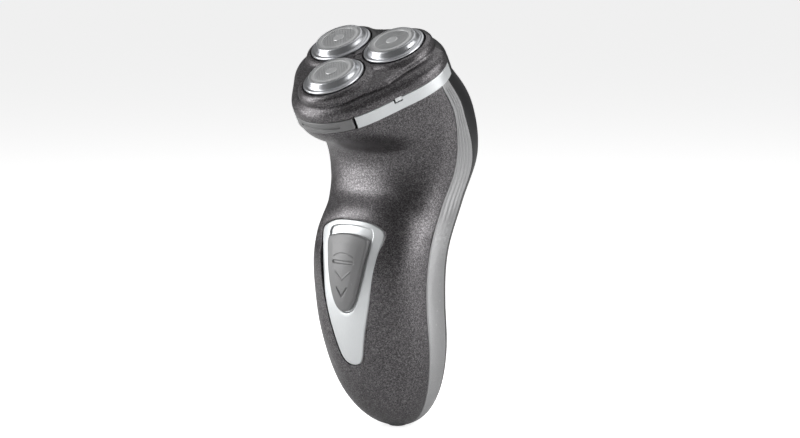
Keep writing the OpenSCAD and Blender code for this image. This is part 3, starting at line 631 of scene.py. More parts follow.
def housingDistance(p):
    h = housingForm
    x, y, z = p[..., 0], p[..., 1], p[..., 2]
    r = np.hypot(x, y - headForm["collarShift"])
    a = np.arctan2(y - headForm["collarShift"], x)
    share = np.clip((r - 10) / 14, 0, 1)
    r = r - (planRadius(a) - planForm["round"]) * share * share * (3 - 2 * share)
    out = profileDistance(r, z, h["skirt"])
    top = z + h["webFall"] * np.hypot(x, y)
    for loop in webs:
        side = distanceTo(loop, x, y) * np.where(insideOf(loop, x, y), -1, 1)
        out = blendMin(out, np.maximum(np.maximum(side, top), r - 28.2), h["webBlend"])
    for cx, cy in unitSpots:
        out = blendMin(out, profileDistance(np.hypot(x - cx, y - cy), z, h["lobe"]), h["blend"])
    return out


def housingSurface(cols=420):
    centre = np.array([0, 2.0, housingForm["bottom"]])
    lift = np.radians(np.concatenate([np.linspace(0, 30, 90), np.linspace(30.8, 90, 60)]))
    turn = np.arange(cols) * 2 * math.pi / cols
    e, a = np.meshgrid(lift, turn, indexing="ij")
    d = np.stack([np.cos(e) * np.cos(a), np.cos(e) * np.sin(a), np.sin(e)], -1)
    near, far = np.full(e.shape, 1.0), np.full(e.shape, 45.0)
    for _ in range(26):
        mid = (near + far) / 2
        inside = housingDistance(centre + d * mid[..., None]) < 0
        near, far = np.where(inside, mid, near), np.where(inside, far, mid)
    return centre + d * near[..., None]


def housingMesh(name):
    p = housingSurface()
    m = p.shape[1]
    centre = np.array([0, headForm["collarShift"], 0])
    ring = p[0]
    flat = (ring - centre) * [1, 1, 0]
    inward = flat / np.linalg.norm(flat, axis=1, keepdims=True)
    lip = ring - inward * 0.25
    p = np.concatenate([p[:1], p[2:]])
    p[0, :, 2] += 0.1
    layers = [p[::-1].reshape(-1, 3)]
    around = np.linalg.norm(flat, axis=1, keepdims=True)
    under = ((29.6, housingForm["bottom"]), (28.6, -8.9), (27.2, -6.6), (26.4, -5.4), (12.0, -5.2), (0.5, -5.1))
    for r, z in ((None, None), *under):
        reach = None if r is None else (around - (planForm["round"] - r) if r > 20 else around * 0 + r)
        layers.append(lip if r is None else centre + inward * reach + [0, 0, z])
    verts = np.concatenate(layers)
    total = len(verts) // m
    faces = gridFaces(total, m, closed=True, flip=True)
    faces.append(tuple(range((total - 1) * m, total * m)))
    ob = meshFrom(name, verts, faces)
    return faceOut(ob, 1e-6)


headShell = housingMesh("headShell")
socketEdge = 11.85 + housingForm["rimGap"]
socketWall = [(0, -13), (10.6, -13), (10.6, -2.9), (socketEdge, -2.9), (socketEdge, -1.15),
              (socketEdge + 0.35, -0.5), (socketEdge + 0.9, 2), (0, 2)]
sockets = [revolve("socket", socketWall, 96, centre=q) for q in unitSpots]
cutWith(headShell, sockets)
headRear = headShell.copy()
headRear.data = headShell.data.copy()
headRear.name = "headRear"
bpy.context.scene.collection.objects.link(headRear)


def rearWedge(name, grown):  # plan of the black rear part of the head, leaning back towards the top
    a = 17 - grown * 0.6
    verts = []
    for z, push in ((-15, -4.0), (6, 12.5)):
        y0 = headForm["collarShift"] + push
        side = y0 + 60 * math.tan(math.radians(a))
        verts += [(60, side, z), (60, 90, z), (-60, 90, z), (-60, side, z), (0, y0 - grown * 0.2, z)]
    faces = [(0, 1, 2, 3, 4), (9, 8, 7, 6, 5)] + [(i, i + 5, (i + 1) % 5 + 5, (i + 1) % 5) for i in range(5)]
    ob = meshFrom(name, verts, faces, False)
    return faceOut(ob)


cutWith(headShell, [rearWedge("wedge", 0.35)])
cutWith(headRear, [rearWedge("wedge", 0.0)], "INTERSECT")
hingeRelief = [rodAlongX("relief", 2.35, *b["hinge"], x0, x1) for x0, x1 in ((-10.2, -5.85), (5.85, 10.2))]
cutWith(headRear, hingeRelief)
barrel = revolve("barrel", [(0.95, -5.85), (1.6, -5.85), (1.9, -5.55), (1.9, 5.55), (1.6, 5.85), (0.95, 5.85)], 40)
barrel.data.transform(toHinge)
joinTo(headRear, [barrel])
tabs = []
tabWall = [(30.2, -11.2), (31.55, -11.2), (31.78, -10.95), (31.78, -9.6), (30.2, -9.6)]
for start in (209.0, -34.2):
    tab = revolve("tab", tabWall, 16, start, 5.2, (0, headForm["collarShift"]))
    toPlan(tab)
    tabs.append(tab)
tabFaces = sum(len(q.data.polygons) for q in tabs)
boss = revolve("boss", [(1.6, -5.6), (2.6, -5.6), (2.6, -2.6), (1.6, -2.6)], 40)
hook = boxMesh("hook", (-5, -28.0, -12.3), (5, -27.1, -9.2))
firstTab = len(headShell.data.polygons)
joinTo(headShell, tabs + [boss, hook])
headShell["tabFaces"] = list(range(firstTab, firstTab + tabFaces))
for ob, node, slotName in ((headShell, "head_housing", "dark_paint"), (headRear, "head_rear_cover", "black_plastic")):
    sharpen(ob, 40)
    toHead(ob)
    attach(ob, "head")
    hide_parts(node)
    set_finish(ob, slotName)
print("head", len(headShell.data.polygons), len(headRear.data.polygons))

collarForm = {
    "outer": 31.9,
    "inner": 30.2,
    "low": -14.7,
    "high": -9.95,
    "edge": 0.28,
    "startX": 14.6,
    "endAngle": 16.6,
    "notchAngle": -30.0,
}
buttonForm = {
    "outer": 31.9,
    "inner": 30.3,
    "low": -14.5,
    "high": -10.1,
    "edge": 0.4,
    "halfX": 13.7,
    "slotHalf": 9.3,
    "slotZ": -12.3,
    "slotR": 0.62,
    "slotDepth": 0.55,
}


def arcBand(name, rOut, rIn, z0, z1, a0, a1, edge, stepA, stepZ, dent=None):
    near = np.array([0, 0.03, 0.12, 0.28, 0.55, 0.8]) * edge / 0.55
    length = math.radians(a1 - a0) * rOut
    along0 = np.linspace(near[-1], length - near[-1], max(int(length / stepA), 2))[1:-1]
    along0 = np.concatenate([near, along0, (length - near)[::-1]])
    height = z1 - z0
    up = np.linspace(near[-1], height - near[-1], max(int(height / stepZ), 2))[1:-1]
    up = np.concatenate([near, up, (height - near)[::-1]])
    a, h = np.meshgrid(along0, up, indexing="ij")
    drop = np.maximum(roundDrop(np.minimum(a, length - a), edge), roundDrop(np.minimum(h, height - h), edge))
    r = rOut - drop
    ang = np.radians(a0) + a / rOut
    if dent is not None:
        r = r - dent(ang, z0 + h)
    wider = planRadius(ang) - planForm["round"]
    r = r + wider
    outer = np.stack([r * np.cos(ang), headForm["collarShift"] + r * np.sin(ang), z0 + h], -1)
    rBack = rIn + wider[:, :1]
    back = np.stack([rBack * np.cos(ang[:, :1]), headForm["collarShift"] + rBack * np.sin(ang[:, :1]),
                     np.full((len(along0), 1), 0.0)], -1)
    hi, lo = back.copy(), back.copy()
    hi[..., 2], lo[..., 2] = z1, z0
    loop = np.concatenate([outer, hi, lo], axis=1)
    n, m = loop.shape[:2]
    return meshFrom(name, loop.reshape(-1, 3), tubeFaces(n, m))


c = collarForm
turns = np.linspace(-90, -40, 501)
turnAt = lambda x: float(np.interp(x, planRadius(np.radians(turns)) * np.cos(np.radians(turns)), turns))
firstAngle = turnAt(c["startX"])
for side in ("right", "left"):
    a0, a1 = (firstAngle, c["endAngle"]) if side == "right" else (180 - c["endAngle"], 180 - firstAngle)
    ob = arcBand("collar" + side.capitalize(), c["outer"], c["inner"], c["low"], c["high"], a0, a1, c["edge"], 0.5, 0.6)
    notch = boxMesh("notch", (24, -0.1, -11.5), (40, 3.3, -9))
    turn = math.radians(c["notchAngle"])
    notch.data.transform(Matrix.Rotation(turn, 4, "Z"))
    if side == "left":
        notch.data.transform(Matrix.Scale(-1, 4, (1, 0, 0)))
        notch.data.flip_normals()
    cutWith(ob, [notch])
    toHead(ob)
    sharpen(ob, 40)
    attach(ob, "handle")
    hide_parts("collar_" + side)
    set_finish(ob, "silver_trim")

bf = buttonForm


def buttonDent(ang, z):
    x = planRadius(ang) * np.cos(ang)
    away = np.hypot(np.maximum(np.abs(x) - bf["slotHalf"] + bf["slotR"], 0), z - bf["slotZ"])
    t = np.clip((bf["slotR"] + 0.12 - away) / 0.3, 0, 1)
    return bf["slotDepth"] * t * t * (3 - 2 * t)


halfAngle = 90 + turnAt(bf["halfX"])
releaseButton = arcBand("releaseButton", bf["outer"], bf["inner"], bf["low"], bf["high"], -90 - halfAngle,
                        -90 + halfAngle, bf["edge"], 0.13, 0.07, buttonDent)
toHead(releaseButton)
sharpen(releaseButton, 60)
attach(releaseButton, "release")
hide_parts("release_button")
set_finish(releaseButton, "switch_grey")
print("collar and button")

switchForm = {
    "bezelEdge": 0.5,
    "lipWidth": 0.42,
    "lipProud": 0.3,
    "insertDrop": 0.8,
    "proud": 1.6,
    "sliderEdge": 0.75,
    "crown": 0.35,
    "crease": 0.22,
}


def onPlate(loop, drop=0.0, lift=0.0):
    return np.stack([loop[:, 0], drumFace(loop[:, 0], loop[:, 1], lift) + drop, loop[:, 1]], -1)


def loopsMesh(name, loops, closed=True, flip=False):
    n, m = len(loops), len(loops[0])
    verts = np.concatenate(loops)
    faces = gridFaces(n, m, closed=True, flip=flip)
    if closed:
        base = (n - 1) * m
        last = [(base + j, base + (j + 1) % m, (j + 1) % m, j) for j in range(m)]
        faces += [q[::-1] for q in last] if flip else last
    ob = meshFrom(name, verts, faces)
    return faceOut(ob)


def frameBand(name, outLoop, inLoop, edge, deep, lift=0.0, steps=12):
    near = np.array([0, 0.05, 0.2, 0.45, 1.0]) * edge
    loops = [onPlate(outLoop, deep, lift)]
    for d in near:
        loops.append(onPlate(grow(outLoop, -d), float(roundDrop(d, edge)), lift))
    a, b = grow(outLoop, -near[-1]), grow(inLoop, near[-1])
    for t in np.linspace(0, 1, steps + 2)[1:-1]:
        loops.append(onPlate(a * (1 - t) + b * t, 0, lift))
    for d in near[::-1]:
        loops.append(onPlate(grow(inLoop, d), float(roundDrop(d, edge)), lift))
    loops.append(onPlate(inLoop, deep, lift))
    return loopsMesh(name, loops)


sf = switchForm
bezel = frameBand("switchBezel", outerLoop, windowLoop, sf["bezelEdge"], 2.0)
sharpen(bezel, 40)
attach(bezel, "handle")
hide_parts("switch_bezel")
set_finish(bezel, "silver_trim")
lipIn = grow(outerLoop, 0.3)
lipOut = grow(outerLoop, 0.3 + sf["lipWidth"])
lip = frameBand("bezelLip", lipOut, lipIn, 0.18, 0.9, sf["lipProud"] - 0.12, 2)
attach(lip, "handle")
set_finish(lip, "dark_paint")


def plateFilled(name, loop, edge, deep, lift, rings, relief=None, centre=(0.0, 63.0)):
    near = np.array([0, 0.04, 0.14, 0.3, 0.55, 1.0]) * edge
    loops = [onPlate(loop, deep, lift)]
    for d in near:
        loops.append(onPlate(grow(loop, -d), float(roundDrop(d, edge)), lift))
    inner = grow(loop, -near[-1])
    mid = np.array(centre)
    for t in np.linspace(0, 1, rings + 1)[1:]:
        ring = inner * (1 - t * 0.995) + mid * t * 0.995
        loops.append(onPlate(ring, 0, lift))
    verts = np.concatenate(loops)
    if relief is not None:
        verts[:, 1] += relief(verts[:, 0], verts[:, 2], verts[:, 1])
    m = len(loop)
    n = len(loops)
    faces = gridFaces(n, m, closed=True)
    faces.append(tuple(range((n - 1) * m, n * m)))
    faces.append(tuple(range(m))[::-1])
    ob = meshFrom(name, verts, faces)
    return faceOut(ob)


insertPlate = plateFilled("switchInsert", grow(windowLoop, -0.16), 0.12, 1.2, -sf["insertDrop"], 10)
neckHole = boxMesh("neckHole", (-2.3, -40, 56), (2.3, -20, 67.6))
cutWith(insertPlate, [neckHole])
sharpen(insertPlate, 40)
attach(insertPlate, "handle")
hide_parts("switch_insert")
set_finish(insertPlate, "silver_trim")

sliderFine = loopOf(plateForm["slider"], 420)


def lineAway(x, z, a, b):
    ax, az, bx, bz = *a, *b
    dx, dz = bx - ax, bz - az
    t = np.clip(((x - ax) * dx + (z - az) * dz) / (dx * dx + dz * dz), 0, 1)
    return np.hypot(x - ax - t * dx, z - az - t * dz)


def sliderRelief(x, z, y):
    g = switchForm
    inward = np.clip(distanceTo(sliderLoop[::3], x, z) / 3.5, 0, 1)
    out = -g["crown"] * (1 - np.clip(np.abs(x) / 10.5, 0, 1) ** 2) * inward
    arc = np.abs(np.hypot(x, z - 61.7) - 9.6)  # raised edge line over the thumb bar
    out += np.where((np.abs(x) < 4.9) & (z > 69), g["crease"] * np.clip(1 - arc / 0.22, 0, 1), 0)
    bar = np.maximum(np.abs(x) - 4.6, 0) ** 2 + (z - 67.9) ** 2
    out += 0.55 * np.clip((0.72 - np.sqrt(bar)) / 0.3, 0, 1)
    soft = np.minimum(lineAway(np.abs(x), z, (0, 61.3), (3.7, 64.5)), 9)
    out += -g["crease"] * 0.9 * np.clip(1 - soft / 0.42, 0, 1)
    deep = lineAway(np.abs(x), z, (0, 55.0), (2.4, 58.2))
    out += 0.42 * np.clip(1 - deep / 0.5, 0, 1)
    return np.where(y < -20, out, 0)


slider = plateFilled("powerSlider", sliderFine, sf["sliderEdge"], 1.7, sf["proud"], 84, sliderRelief, (0.0, 65.5))
neck = boxMesh("neck", (-1.9, -31.6, 57), (1.9, -25.2, 64.6))
joinTo(slider, [neck])
sharpen(slider, 50)
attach(slider, "power_switch")
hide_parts("switch_slider")
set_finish(slider, "switch_grey")
print("switch")

guardForm = {
    "under": [(8.0, 2.05), (8.35, 1.75), (8.9, 0.6), (9.4, -0.4), (9.4, -3.4), (10.2, -3.4), (10.2, -1.0),
              (11.3, -1.0)],
    "rim": [(11.65, -0.9), (11.85, -0.65), (11.9, -0.3), (11.8, 0.05), (11.5, 0.28), (11.15, 0.36), (10.8, 0.3),
            (10.55, 0.34), (10.3, 0.55), (9.95, 1.15), (9.55, 1.85), (9.3, 2.18), (9.12, 2.33)],
    "face": [(8.95, 2.395), (8.86, 2.4), (8.4, 2.4), (7.95, 2.4), (7.88, 2.4), (7.35, 2.4), (7.2, 2.46),
             (6.95, 2.5), (6.7, 2.46), (6.6, 2.38), (6.6, 2.05)],
    "slots": 96,
    "slotDepth": 0.4,
    "plate": (6.6, 2.36),
    "linePitch": 0.66,
    "lineDepth": 0.24,
    "lineTurn": {"front": 35.0, "left": 35.0, "right": -40.0},
    "boss": [(2.3, 2.3), (2.2, 2.42), (1.95, 2.5), (1.75, 2.46), (1.55, 2.42), (1.0, 2.44), (0.75, 2.5),
             (0.45, 2.45), (0, 2.43)],
}


def guardBody(name):  # rim, wall and slotted outer ring of one guard
    g = guardForm
    profile = np.array(g["under"] + g["rim"] + g["face"], float)
    first = len(g["under"]) + len(g["rim"])
    cols = g["slots"] * 6
    ang = np.arange(cols) * 2 * math.pi / cols
    cut = (np.arange(cols) % 6) < 3
    ring = np.stack([np.outer(profile[:, 0], np.cos(ang)), np.outer(profile[:, 0], np.sin(ang)),
                     np.repeat(profile[:, 1:], cols, 1)], -1)
    for i in range(first + 1, first + 4):
        ring[i, cut, 2] -= g["slotDepth"]
    return loopsMesh(name, list(ring))


def guardPlate(name, turn):  # inner disc with fine straight ribs
    g = guardForm
    radius, top = g["plate"]
    step = g["linePitch"] / 6
    x = np.arange(-radius + 0.02, radius, step)
    t = np.linspace(-1, 1, 15)
    half = np.sqrt(np.maximum(radius ** 2 - x ** 2, 1e-6))
    low = (np.arange(len(x)) % 6) < 3
    height = np.where(low, top - g["lineDepth"], top)
    upper = np.stack([np.repeat(x[:, None], 15, 1), half[:, None] * t, np.repeat(height[:, None], 15, 1)], -1)
    lower = upper[:, ::-1].copy()
    lower[..., 2] = top - 0.3
    loop = np.concatenate([upper, lower], axis=1)
    n, m = loop.shape[:2]
    ob = meshFrom(name, loop.reshape(-1, 3), tubeFaces(n, m))
    ob.data.transform(Matrix.Rotation(math.radians(turn), 4, "Z"))
    return ob


for k, spot in zip(unitNames, unitSpots):
    ob = guardBody("guard" + k.capitalize())
    plate = guardPlate("guardPlate" + k.capitalize(), guardForm["lineTurn"][k])
    boss = revolve("boss", [(0, 2.1), (2.3, 2.1)] + guardForm["boss"], 64)
    joinTo(ob, [plate, boss])
    faceFrom = np.hypot(*np.array([q.center[:2] for q in ob.data.polygons]).T) / mm
    faceHigh = np.array([q.center[2] for q in ob.data.polygons]) / mm
    inner = (faceFrom < 8.9) & (faceHigh > 1.9)
    toHead(ob, spot)
    sharpen(ob, 35)
    ob["innerFaces"] = [int(i) for i in np.nonzero(inner)[0]]
    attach(ob, k + "_guard")
    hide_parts("guard_" + k)
    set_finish(ob, "cutter_chrome")
print("guards")

trimmerForm = {"s": (89.05, 117.55), "f": (62.1, 117.9), "thick": 2.0, "pivotClear": 4.95, "earX": 11.5}
tf = trimmerForm
coverEdge = np.array([0, 0.06, 0.2, 0.4, 0.8])
coverRows = np.concatenate([coverEdge + tf["s"][0], np.arange(tf["s"][0] + 1.6, tf["s"][1] - 1.2, 1.1),
                            tf["s"][1] - coverEdge[::-1]])


def coverShape(p, normal, s, f, dist):
    low = np.minimum(s - tf["s"][0], tf["s"][1] - s)
    drop = roundDrop(np.minimum(low, 0.8), 0.4)
    ridge = np.zeros_like(s)
    for k in range(5):
        inside = np.clip((9.5 - np.abs(p[..., 0])) / 1.0, 0, 1)
        ridge += np.clip(1 - np.abs(s - 111.2 - k * 1.15) / 0.36, 0, 1) * inside
    return p - normal * (drop + 0.28 * ridge)[..., None]


finger = np.arange(110.2, 116.9, 0.16)
coverRows = np.unique(np.concatenate([coverRows[(coverRows < 110.2) | (coverRows > 116.9)], finger]))
coverSides = [np.full(len(coverRows), q) for q in tf["f"]]
trimmerCover = stripShell("trimmerCover", coverRows, *coverSides, 60, tf["thick"], 0.35, coverShape)
pivotY, pivotZ = backForm["pivot"]
lowBlock = boxMesh("lowBlock", (-20, 0, 78), (20, 40, pivotZ))
keepRound = rodAlongX("keepRound", tf["pivotClear"], pivotY, pivotZ, -21, 21, 96)
cutWith(lowBlock, [keepRound])
earSpans = ((-20, -tf["earX"]), (tf["earX"], 20))
ears = [rodAlongX("ear", tf["pivotClear"] + 0.02, pivotY, pivotZ, x0, x1) for x0, x1 in earSpans]
cutWith(trimmerCover, [lowBlock] + ears)
barrel = rodAlongX("trimmerBarrel", 1.7, pivotY, pivotZ, -11.4, 11.4)
web = [boxMesh("web", (-9, pivotY, pivotZ - 0.6), (9, pivotY + 4, pivotZ + 0.6)),
       boxMesh("carrier", (-10, pivotY + 0.6, pivotZ), (10, pivotY + 2, 100)),
       boxMesh("shelf", (-10, pivotY + 1, 98.6), (10, 24.3, 100))]
joinTo(trimmerCover, [barrel] + web)
sharpen(trimmerCover, 40)
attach(trimmerCover, "trimmer")
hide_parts("trimmer_cover")
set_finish(trimmerCover, "black_plastic")
print("trimmer cover")


def socketsOf(group, ins, outs):
    for name, kind, value in ins:
        s = group.interface.new_socket(name=name, in_out="INPUT", socket_type=kind)
        if value is not None:
            s.default_value = value
    for name, kind in outs:
        group.interface.new_socket(name=name, in_out="OUTPUT", socket_type=kind)


def nodeIn(tree, kind, **values):
    n = tree.nodes.new(kind)
    for k, v in values.items():
        setattr(n, k, v)
    return n


def mathNode(tree, op, a, b=None, c=None, clamp=False):
    n = nodeIn(tree, "ShaderNodeMath", operation=op, use_clamp=clamp)
    for i, v in enumerate((a, b, c)):
        if v is None:
            continue
        if isinstance(v, (int, float)):
            n.inputs[i].default_value = v
        else:
            tree.links.new(v, n.inputs[i])
    return n.outputs[0]


def makeGroup(name, ins, outs):
    g = bpy.data.node_groups.new(name, "ShaderNodeTree")
    socketsOf(g, ins, outs)
    return g, g.nodes.new("NodeGroupInput"), g.nodes.new("NodeGroupOutput")


surfaceOuts = [(k, "NodeSocketFloat") for k in ("Shade", "Height", "Cloud")]


def metalFlake():  # small bright flakes in paint
    ins = [("Size", "NodeSocketFloat", 0.4), ("Contrast", "NodeSocketFloat", 1.0)]
    g, gin, out = makeGroup("metalFlake", ins, surfaceOuts)
    co = nodeIn(g, "ShaderNodeTexCoord")
    scale = mathNode(g, "DIVIDE", 1000.0, gin.outputs["Size"])
    vor = nodeIn(g, "ShaderNodeTexVoronoi", feature="F1")
    g.links.new(co.outputs["Object"], vor.inputs["Vector"])
    g.links.new(scale, vor.inputs["Scale"])
    noise = nodeIn(g, "ShaderNodeTexNoise")
    noise.inputs["Detail"].default_value = 3.0
    noise.inputs["Roughness"].default_value = 0.7
    g.links.new(co.outputs["Object"], noise.inputs["Vector"])
    g.links.new(mathNode(g, "MULTIPLY", scale, 0.62), noise.inputs["Scale"])
    cloud = nodeIn(g, "ShaderNodeTexNoise")
    cloud.inputs["Scale"].default_value = 90.0
    cloud.inputs["Detail"].default_value = 2.0
    g.links.new(co.outputs["Object"], cloud.inputs["Vector"])
    split = nodeIn(g, "ShaderNodeSeparateColor")
    g.links.new(vor.outputs["Color"], split.inputs[0])
    flake = mathNode(g, "POWER", split.outputs[0], 2.2)
    haze = mathNode(g, "MULTIPLY", mathNode(g, "SUBTRACT", noise.outputs["Fac"], 0.28), 0.9)
    both = mathNode(g, "ADD", mathNode(g, "MULTIPLY", flake, 0.6), haze)
    spread = mathNode(g, "MULTIPLY", mathNode(g, "SUBTRACT", both, 0.4), gin.outputs["Contrast"])
    shade = mathNode(g, "ADD", 0.4, spread, clamp=True)
    g.links.new(shade, out.inputs["Shade"])
    g.links.new(noise.outputs["Fac"], out.inputs["Height"])
    g.links.new(cloud.outputs["Fac"], out.inputs["Cloud"])
    return g


def mouldGrain():  # fine spark-eroded texture of moulded plastic
    g, gin, out = makeGroup("mouldGrain", [("Size", "NodeSocketFloat", 0.3)], surfaceOuts)
    co = nodeIn(g, "ShaderNodeTexCoord")
    scale = mathNode(g, "DIVIDE", 1000.0, gin.outputs["Size"])
    fine = nodeIn(g, "ShaderNodeTexNoise")
    fine.inputs["Detail"].default_value = 4.0
    g.links.new(co.outputs["Object"], fine.inputs["Vector"])
    g.links.new(scale, fine.inputs["Scale"])
    cells = nodeIn(g, "ShaderNodeTexVoronoi", feature="SMOOTH_F1")
    g.links.new(co.outputs["Object"], cells.inputs["Vector"])
    g.links.new(mathNode(g, "MULTIPLY", scale, 0.7), cells.inputs["Scale"])
    cloud = nodeIn(g, "ShaderNodeTexNoise")
    cloud.inputs["Scale"].default_value = 70.0
    cloud.inputs["Detail"].default_value = 3.0
    g.links.new(co.outputs["Object"], cloud.inputs["Vector"])
    g.links.new(fine.outputs["Fac"], out.inputs["Shade"])
    fineHigh = mathNode(g, "MULTIPLY", fine.outputs["Fac"], 0.6)
    cellHigh = mathNode(g, "MULTIPLY", cells.outputs["Distance"], 0.5)
    g.links.new(mathNode(g, "ADD", fineHigh, cellHigh), out.inputs["Height"])
    g.links.new(cloud.outputs["Fac"], out.inputs["Cloud"])
    return g


def brushLines():  # drawn or ground lines in metal
    ins = [("Size", "NodeSocketFloat", 0.2), ("Stretch", "NodeSocketVector", (1, 1, 0.06))]
    g, gin, out = makeGroup("brushLines", ins, surfaceOuts)
    co = nodeIn(g, "ShaderNodeTexCoord")
    stretch = nodeIn(g, "ShaderNodeVectorMath", operation="MULTIPLY")
    g.links.new(co.outputs["Object"], stretch.inputs[0])
    g.links.new(gin.outputs["Stretch"], stretch.inputs[1])
    scale = mathNode(g, "DIVIDE", 1000.0, gin.outputs["Size"])
    line = nodeIn(g, "ShaderNodeTexNoise")
    line.inputs["Detail"].default_value = 5.0
    line.inputs["Roughness"].default_value = 0.65
    g.links.new(stretch.outputs[0], line.inputs["Vector"])
    g.links.new(scale, line.inputs["Scale"])
    cloud = nodeIn(g, "ShaderNodeTexNoise")
    cloud.inputs["Scale"].default_value = 120.0
    cloud.inputs["Detail"].default_value = 3.0
    g.links.new(co.outputs["Object"], cloud.inputs["Vector"])
    g.links.new(line.outputs["Fac"], out.inputs["Shade"])
    g.links.new(line.outputs["Fac"], out.inputs["Height"])
    g.links.new(cloud.outputs["Fac"], out.inputs["Cloud"])
    return g


def edgeHighlightAndShade():  # painted highlight on convex edges and painted shade in hollows, both from pointiness
    g, gin, out = makeGroup("edgeHighlightAndShade", [("Start", "NodeSocketFloat", 0.52), ("Full", "NodeSocketFloat", 0.62)],
                            [("Mask", "NodeSocketFloat"), ("Hollow", "NodeSocketFloat")])
    geo = nodeIn(g, "ShaderNodeNewGeometry")
    # painted highlight mask: high pointiness marks convex edges
    rng = nodeIn(g, "ShaderNodeMapRange")
    g.links.new(geo.outputs["Pointiness"], rng.inputs["Value"])
    g.links.new(gin.outputs["Start"], rng.inputs["From Min"])
    g.links.new(gin.outputs["Full"], rng.inputs["From Max"])
    g.links.new(rng.outputs[0], out.inputs["Mask"])
    # painted shade mask: low pointiness marks hollows
    low = nodeIn(g, "ShaderNodeMapRange")
    low.inputs["From Min"].default_value = 0.48
    low.inputs["From Max"].default_value = 0.40
    g.links.new(geo.outputs["Pointiness"], low.inputs["Value"])
    g.links.new(low.outputs[0], out.inputs["Hollow"])
    return g


groups = {"flake": metalFlake(), "grain": mouldGrain(), "brush": brushLines(), "edge": edgeHighlightAndShade()}

# the last value is the strength of the painted shade in hollows
plainFinish = {"metallic": 0.0, "coat": 0.0, "coatRough": 0.2, "bump": 0.05, "depth": 0.00002, "hollowShadeStrength": 0.2}
finishes = {  # base and second colour, then metallic, roughness span, bump and pattern size in millimetres
    "dark_paint": dict(kind="flake", size=0.34, low=(0.020, 0.017, 0.019), high=(0.27, 0.26, 0.268), metallic=0.85,
        rough=(0.36, 0.46), bump=0.10, depth=0.00004, coat=0.25, coatRough=0.3),
    "black_plastic": dict(kind="grain", size=0.25, low=(0.006, 0.006, 0.007), high=(0.014, 0.014, 0.015),
        rough=(0.3, 0.42), depth=0.00003),
    # grip: full-strength painted shade in the rib grooves
    "grip_grey": dict(kind="grain", size=0.3, low=(0.30, 0.30, 0.305), high=(0.44, 0.44, 0.445), metallic=0.45,
        rough=(0.34, 0.46), hollowShadeStrength=1.0, bump=0.08, depth=0.00003),
    "silver_trim": dict(kind="brush", size=0.25, low=(0.66, 0.68, 0.69), high=(0.76, 0.78, 0.79), metallic=0.45,
        rough=(0.3, 0.4), bump=0.03),
    "cutter_chrome": dict(kind="brush", size=0.5, low=(0.46, 0.47, 0.49), high=(0.58, 0.59, 0.61), metallic=1.0,
        rough=(0.26, 0.38), bump=0.02, depth=0.00001, coatRough=0.1),
    # foil: strong painted shade in its lines and slots
    "guardFoil": dict(kind="brush", size=0.3, low=(0.46, 0.465, 0.47), high=(0.62, 0.625, 0.63), metallic=0.6,
        rough=(0.34, 0.5), hollowShadeStrength=0.9, coatRough=0.1),
    "switch_grey": dict(kind="grain", size=0.3, low=(0.17, 0.17, 0.172), high=(0.22, 0.22, 0.222), metallic=0.15,
        rough=(0.36, 0.46), bump=0.06),
    "spring_steel": dict(kind="brush", size=0.2, low=(0.38, 0.38, 0.39), high=(0.6, 0.6, 0.61), metallic=1.0,
        rough=(0.22, 0.36)),
    "contact_brass": dict(kind="brush", size=0.25, low=(0.55, 0.36, 0.12), high=(0.74, 0.53, 0.22), metallic=1.0,
        rough=(0.25, 0.4)),
    "nickel_strip": dict(kind="brush", size=0.3, low=(0.52, 0.5, 0.46), high=(0.68, 0.66, 0.62), metallic=1.0,
        rough=(0.2, 0.34), bump=0.04),
    "inner_plastic": dict(kind="grain", size=0.4, low=(0.50, 0.49, 0.45), high=(0.60, 0.59, 0.54),
        rough=(0.45, 0.6), bump=0.08, depth=0.00004),
    "inner_dark": dict(kind="grain", size=0.4, low=(0.018, 0.018, 0.02), high=(0.035, 0.035, 0.037),
        rough=(0.4, 0.58), bump=0.1, depth=0.00004),
    "board_green": dict(kind="grain", size=1.2, low=(0.01, 0.09, 0.04), high=(0.03, 0.17, 0.08),
        rough=(0.25, 0.4), bump=0.1, depth=0.00005, coat=0.4, coatRough=0.1),
    "cell_wrap": dict(kind="grain", size=0.8, low=(0.03, 0.11, 0.24), high=(0.05, 0.16, 0.32),
        rough=(0.22, 0.34), bump=0.04, depth=0.00003, coat=0.3, coatRough=0.1),
    "motor_steel": dict(kind="brush", size=0.3, low=(0.36, 0.36, 0.37), high=(0.55, 0.55, 0.56), metallic=1.0,
        rough=(0.28, 0.42), depth=0.00003),
    "pin_steel": dict(kind="brush", size=0.2, low=(0.45, 0.45, 0.46), high=(0.64, 0.64, 0.65), metallic=1.0,
        rough=(0.2, 0.32), bump=0.03),
    "gear_white": dict(kind="grain", size=0.35, low=(0.62, 0.60, 0.54), high=(0.72, 0.70, 0.64),
        rough=(0.34, 0.46), depth=0.00003),
    "blade_steel": dict(kind="brush", size=0.22, low=(0.42, 0.43, 0.45), high=(0.66, 0.67, 0.69), metallic=1.0,
        rough=(0.18, 0.32), bump=0.04),
}


